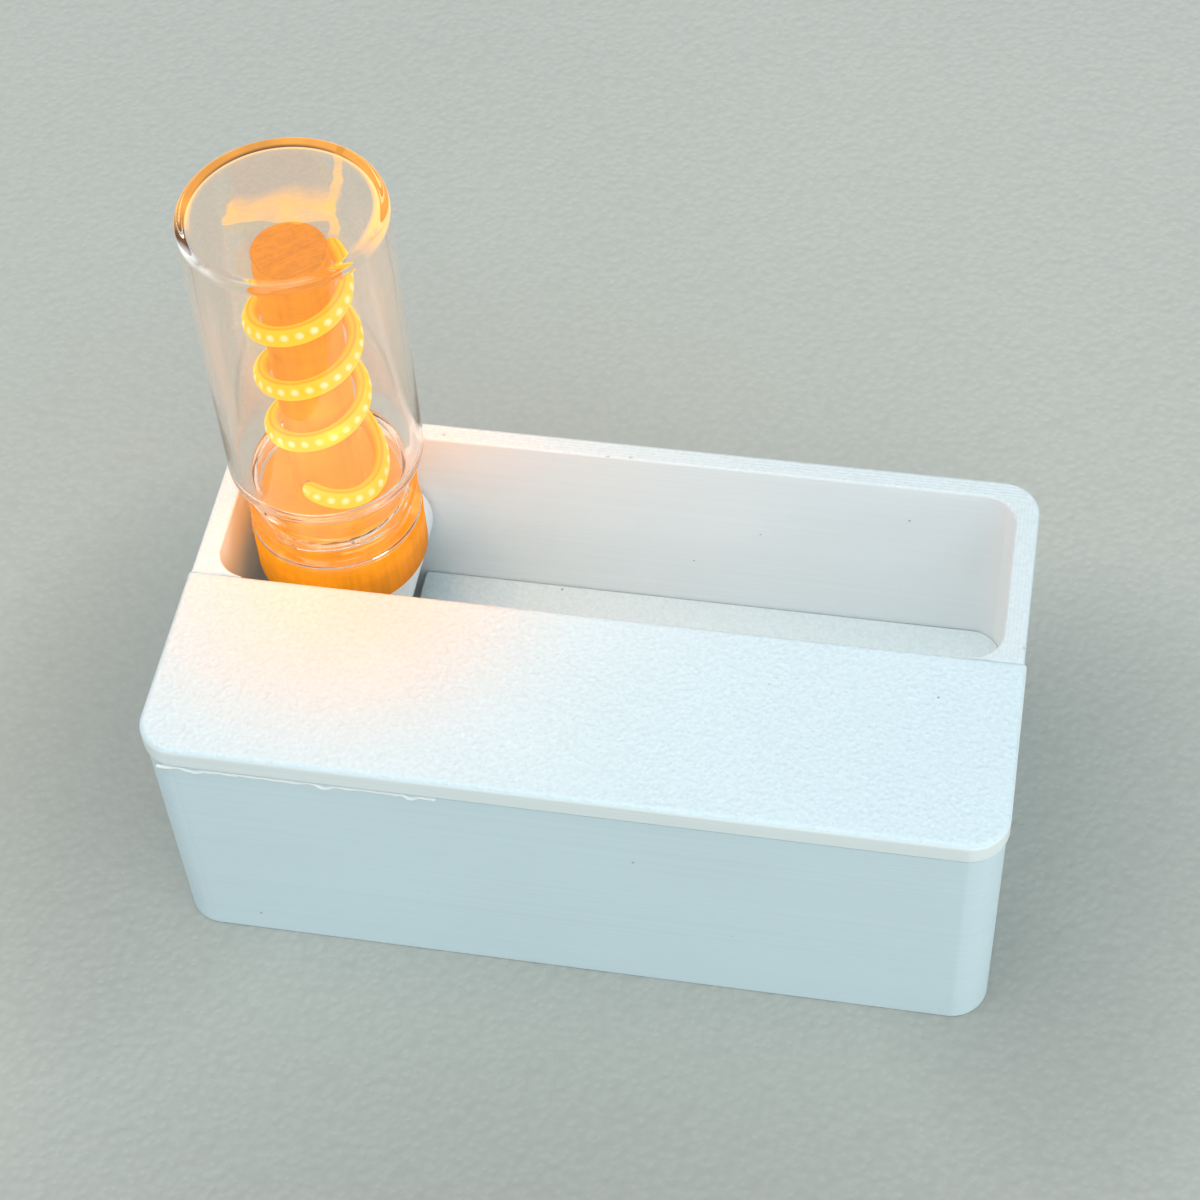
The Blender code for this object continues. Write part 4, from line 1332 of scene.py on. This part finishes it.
def make_floor():
    """A desk mat with a leather-like grain, painted shadows beside the box and in front of it, and painted
    light towards the back right.
    """
    mesh = bpy.data.meshes.new("floor")
    reach = 1.5
    mesh.from_pydata(
        [(-reach, -reach, 0), (reach, -reach, 0), (reach, reach, 0), (-reach, reach, 0)], [], [(0, 1, 2, 3)]
    )
    look = Look("floor_mat", (0.50, 0.53, 0.48), Roughness=0.55)
    pebbles = look.cells(1000, feature="SMOOTH_F1")
    look.bump(pebbles, 0.2 * MM)
    look.bump(look.noise(900, 3.0), 0.06 * MM)
    tone = look.spread(look.noise(6, 2.0), *NOISE)
    mat = look.blend(tone, (0.52, 0.55, 0.505), (0.56, 0.59, 0.54))
    x, y = look.axis("X"), look.axis("Y")
    # Painted light: brighter towards the back right, darker towards the front left.
    shade = look.spread(look.plus(look.times(x, 0.25), y), -0.11, 0.15, 0.96, 1.12)
    # Painted shadows beside the box and in front of it.
    beside = look.away(look.size(x), y, (62 * MM, -2 * MM), (30 * MM, 50 * MM))
    in_front = look.away(x, y, (10 * MM, -62 * MM), (70 * MM, 55 * MM))
    shade = look.times(
        shade,
        look.spread(beside, 0.0, 1.0, 0.78, 1.0),
        look.spread(in_front, 0.0, 1.4, 0.76, 1.0),
        # Painted light and shade on the grain: lighter in the pebbles' middles, darker at their edges.
        look.spread(pebbles, 0.0, 0.8, 1.03, 0.95),
    )
    look.set("Base Color", look.blend(1.0, mat, look.grey(shade), "MULTIPLY"))
    look.set("Roughness", look.vary(0.5, 0.7, 500, 2.0))
    floor = link("floor", mesh, [look])


def area(name, place, aim, size, power, colour):
    data = bpy.data.lights.new(name, "AREA")
    data.shape = "RECTANGLE"
    data.size, data.size_y = size
    data.energy = power
    data.color = colour
    made = bpy.data.objects.new(name, data)
    made.location = place
    made.rotation_euler = (Vector(aim) - Vector(place)).to_track_quat("-Z", "Y").to_euler()
    bpy.context.scene.collection.objects.link(made)


def make_lights():
    aim = (0, 0, 20 * MM)
    area("over", (-0.18, -0.14, 0.92), aim, (0.7, 0.7), 3.0, (1.0, 1.0, 0.985))
    area("front", (0.34, -0.70, 0.66), aim, (0.7, 0.5), 2.0, (0.93, 0.99, 1.0))
    area("side", (0.92, -0.42, 0.28), aim, (0.4, 0.4), 1.7, (0.95, 1.0, 1.0))
    world = bpy.data.worlds.new("studio")
    world.use_nodes = True
    background = world.node_tree.nodes["Background"]
    background.inputs["Color"].default_value = (0.90, 0.95, 1.0, 1)
    background.inputs["Strength"].default_value = 0.54
    bpy.context.scene.world = world


def make_glow():
    """Small lamps among the coil's turns, which light what is round the vial."""
    for number, degrees in enumerate((-120, -60, 0, 60, 120, 180)):
        data = bpy.data.lights.new(f"glow_{number}", "POINT")
        data.energy = 0.005
        data.color = (1.0, 0.34, 0.05)
        data.shadow_soft_size = 1.5 * MM
        made = bpy.data.objects.new(data.name, data)
        made.location = around(degrees, 8.3 * MM, (54 + 5 * (number % 3)) * MM)
        made.visible_camera = False
        made.visible_transmission = False
        made.visible_glossy = False
        bpy.context.scene.collection.objects.link(made)
        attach(made, "lamp")


def make_camera():
    data = bpy.data.cameras.new("camera")
    data.lens = CAMERA_LENS
    data.sensor_width = 36
    data.clip_start = 0.01
    camera = bpy.data.objects.new("camera", data)
    camera.location = CAMERA_PLACE
    camera.rotation_euler = [math.radians(turn) for turn in CAMERA_TURN]
    bpy.context.scene.collection.objects.link(camera)
    bpy.context.scene.camera = camera


make_camera()
make_floor()
make_lights()
make_glow()
make_case_shell()
make_lid_cover()
make_trough_plate()
make_lamp_foot()
make_light_collar()
make_light_stem()
make_filament_coil()
make_filament_hooks()
make_clear_vial()
make_seam_glue()
make_pivot_bush()
make_pivot_pin()
make_usb_shell()
make_switch_parts()
dress_nodes()
bpy.context.scene.view_settings.view_transform = "Standard"
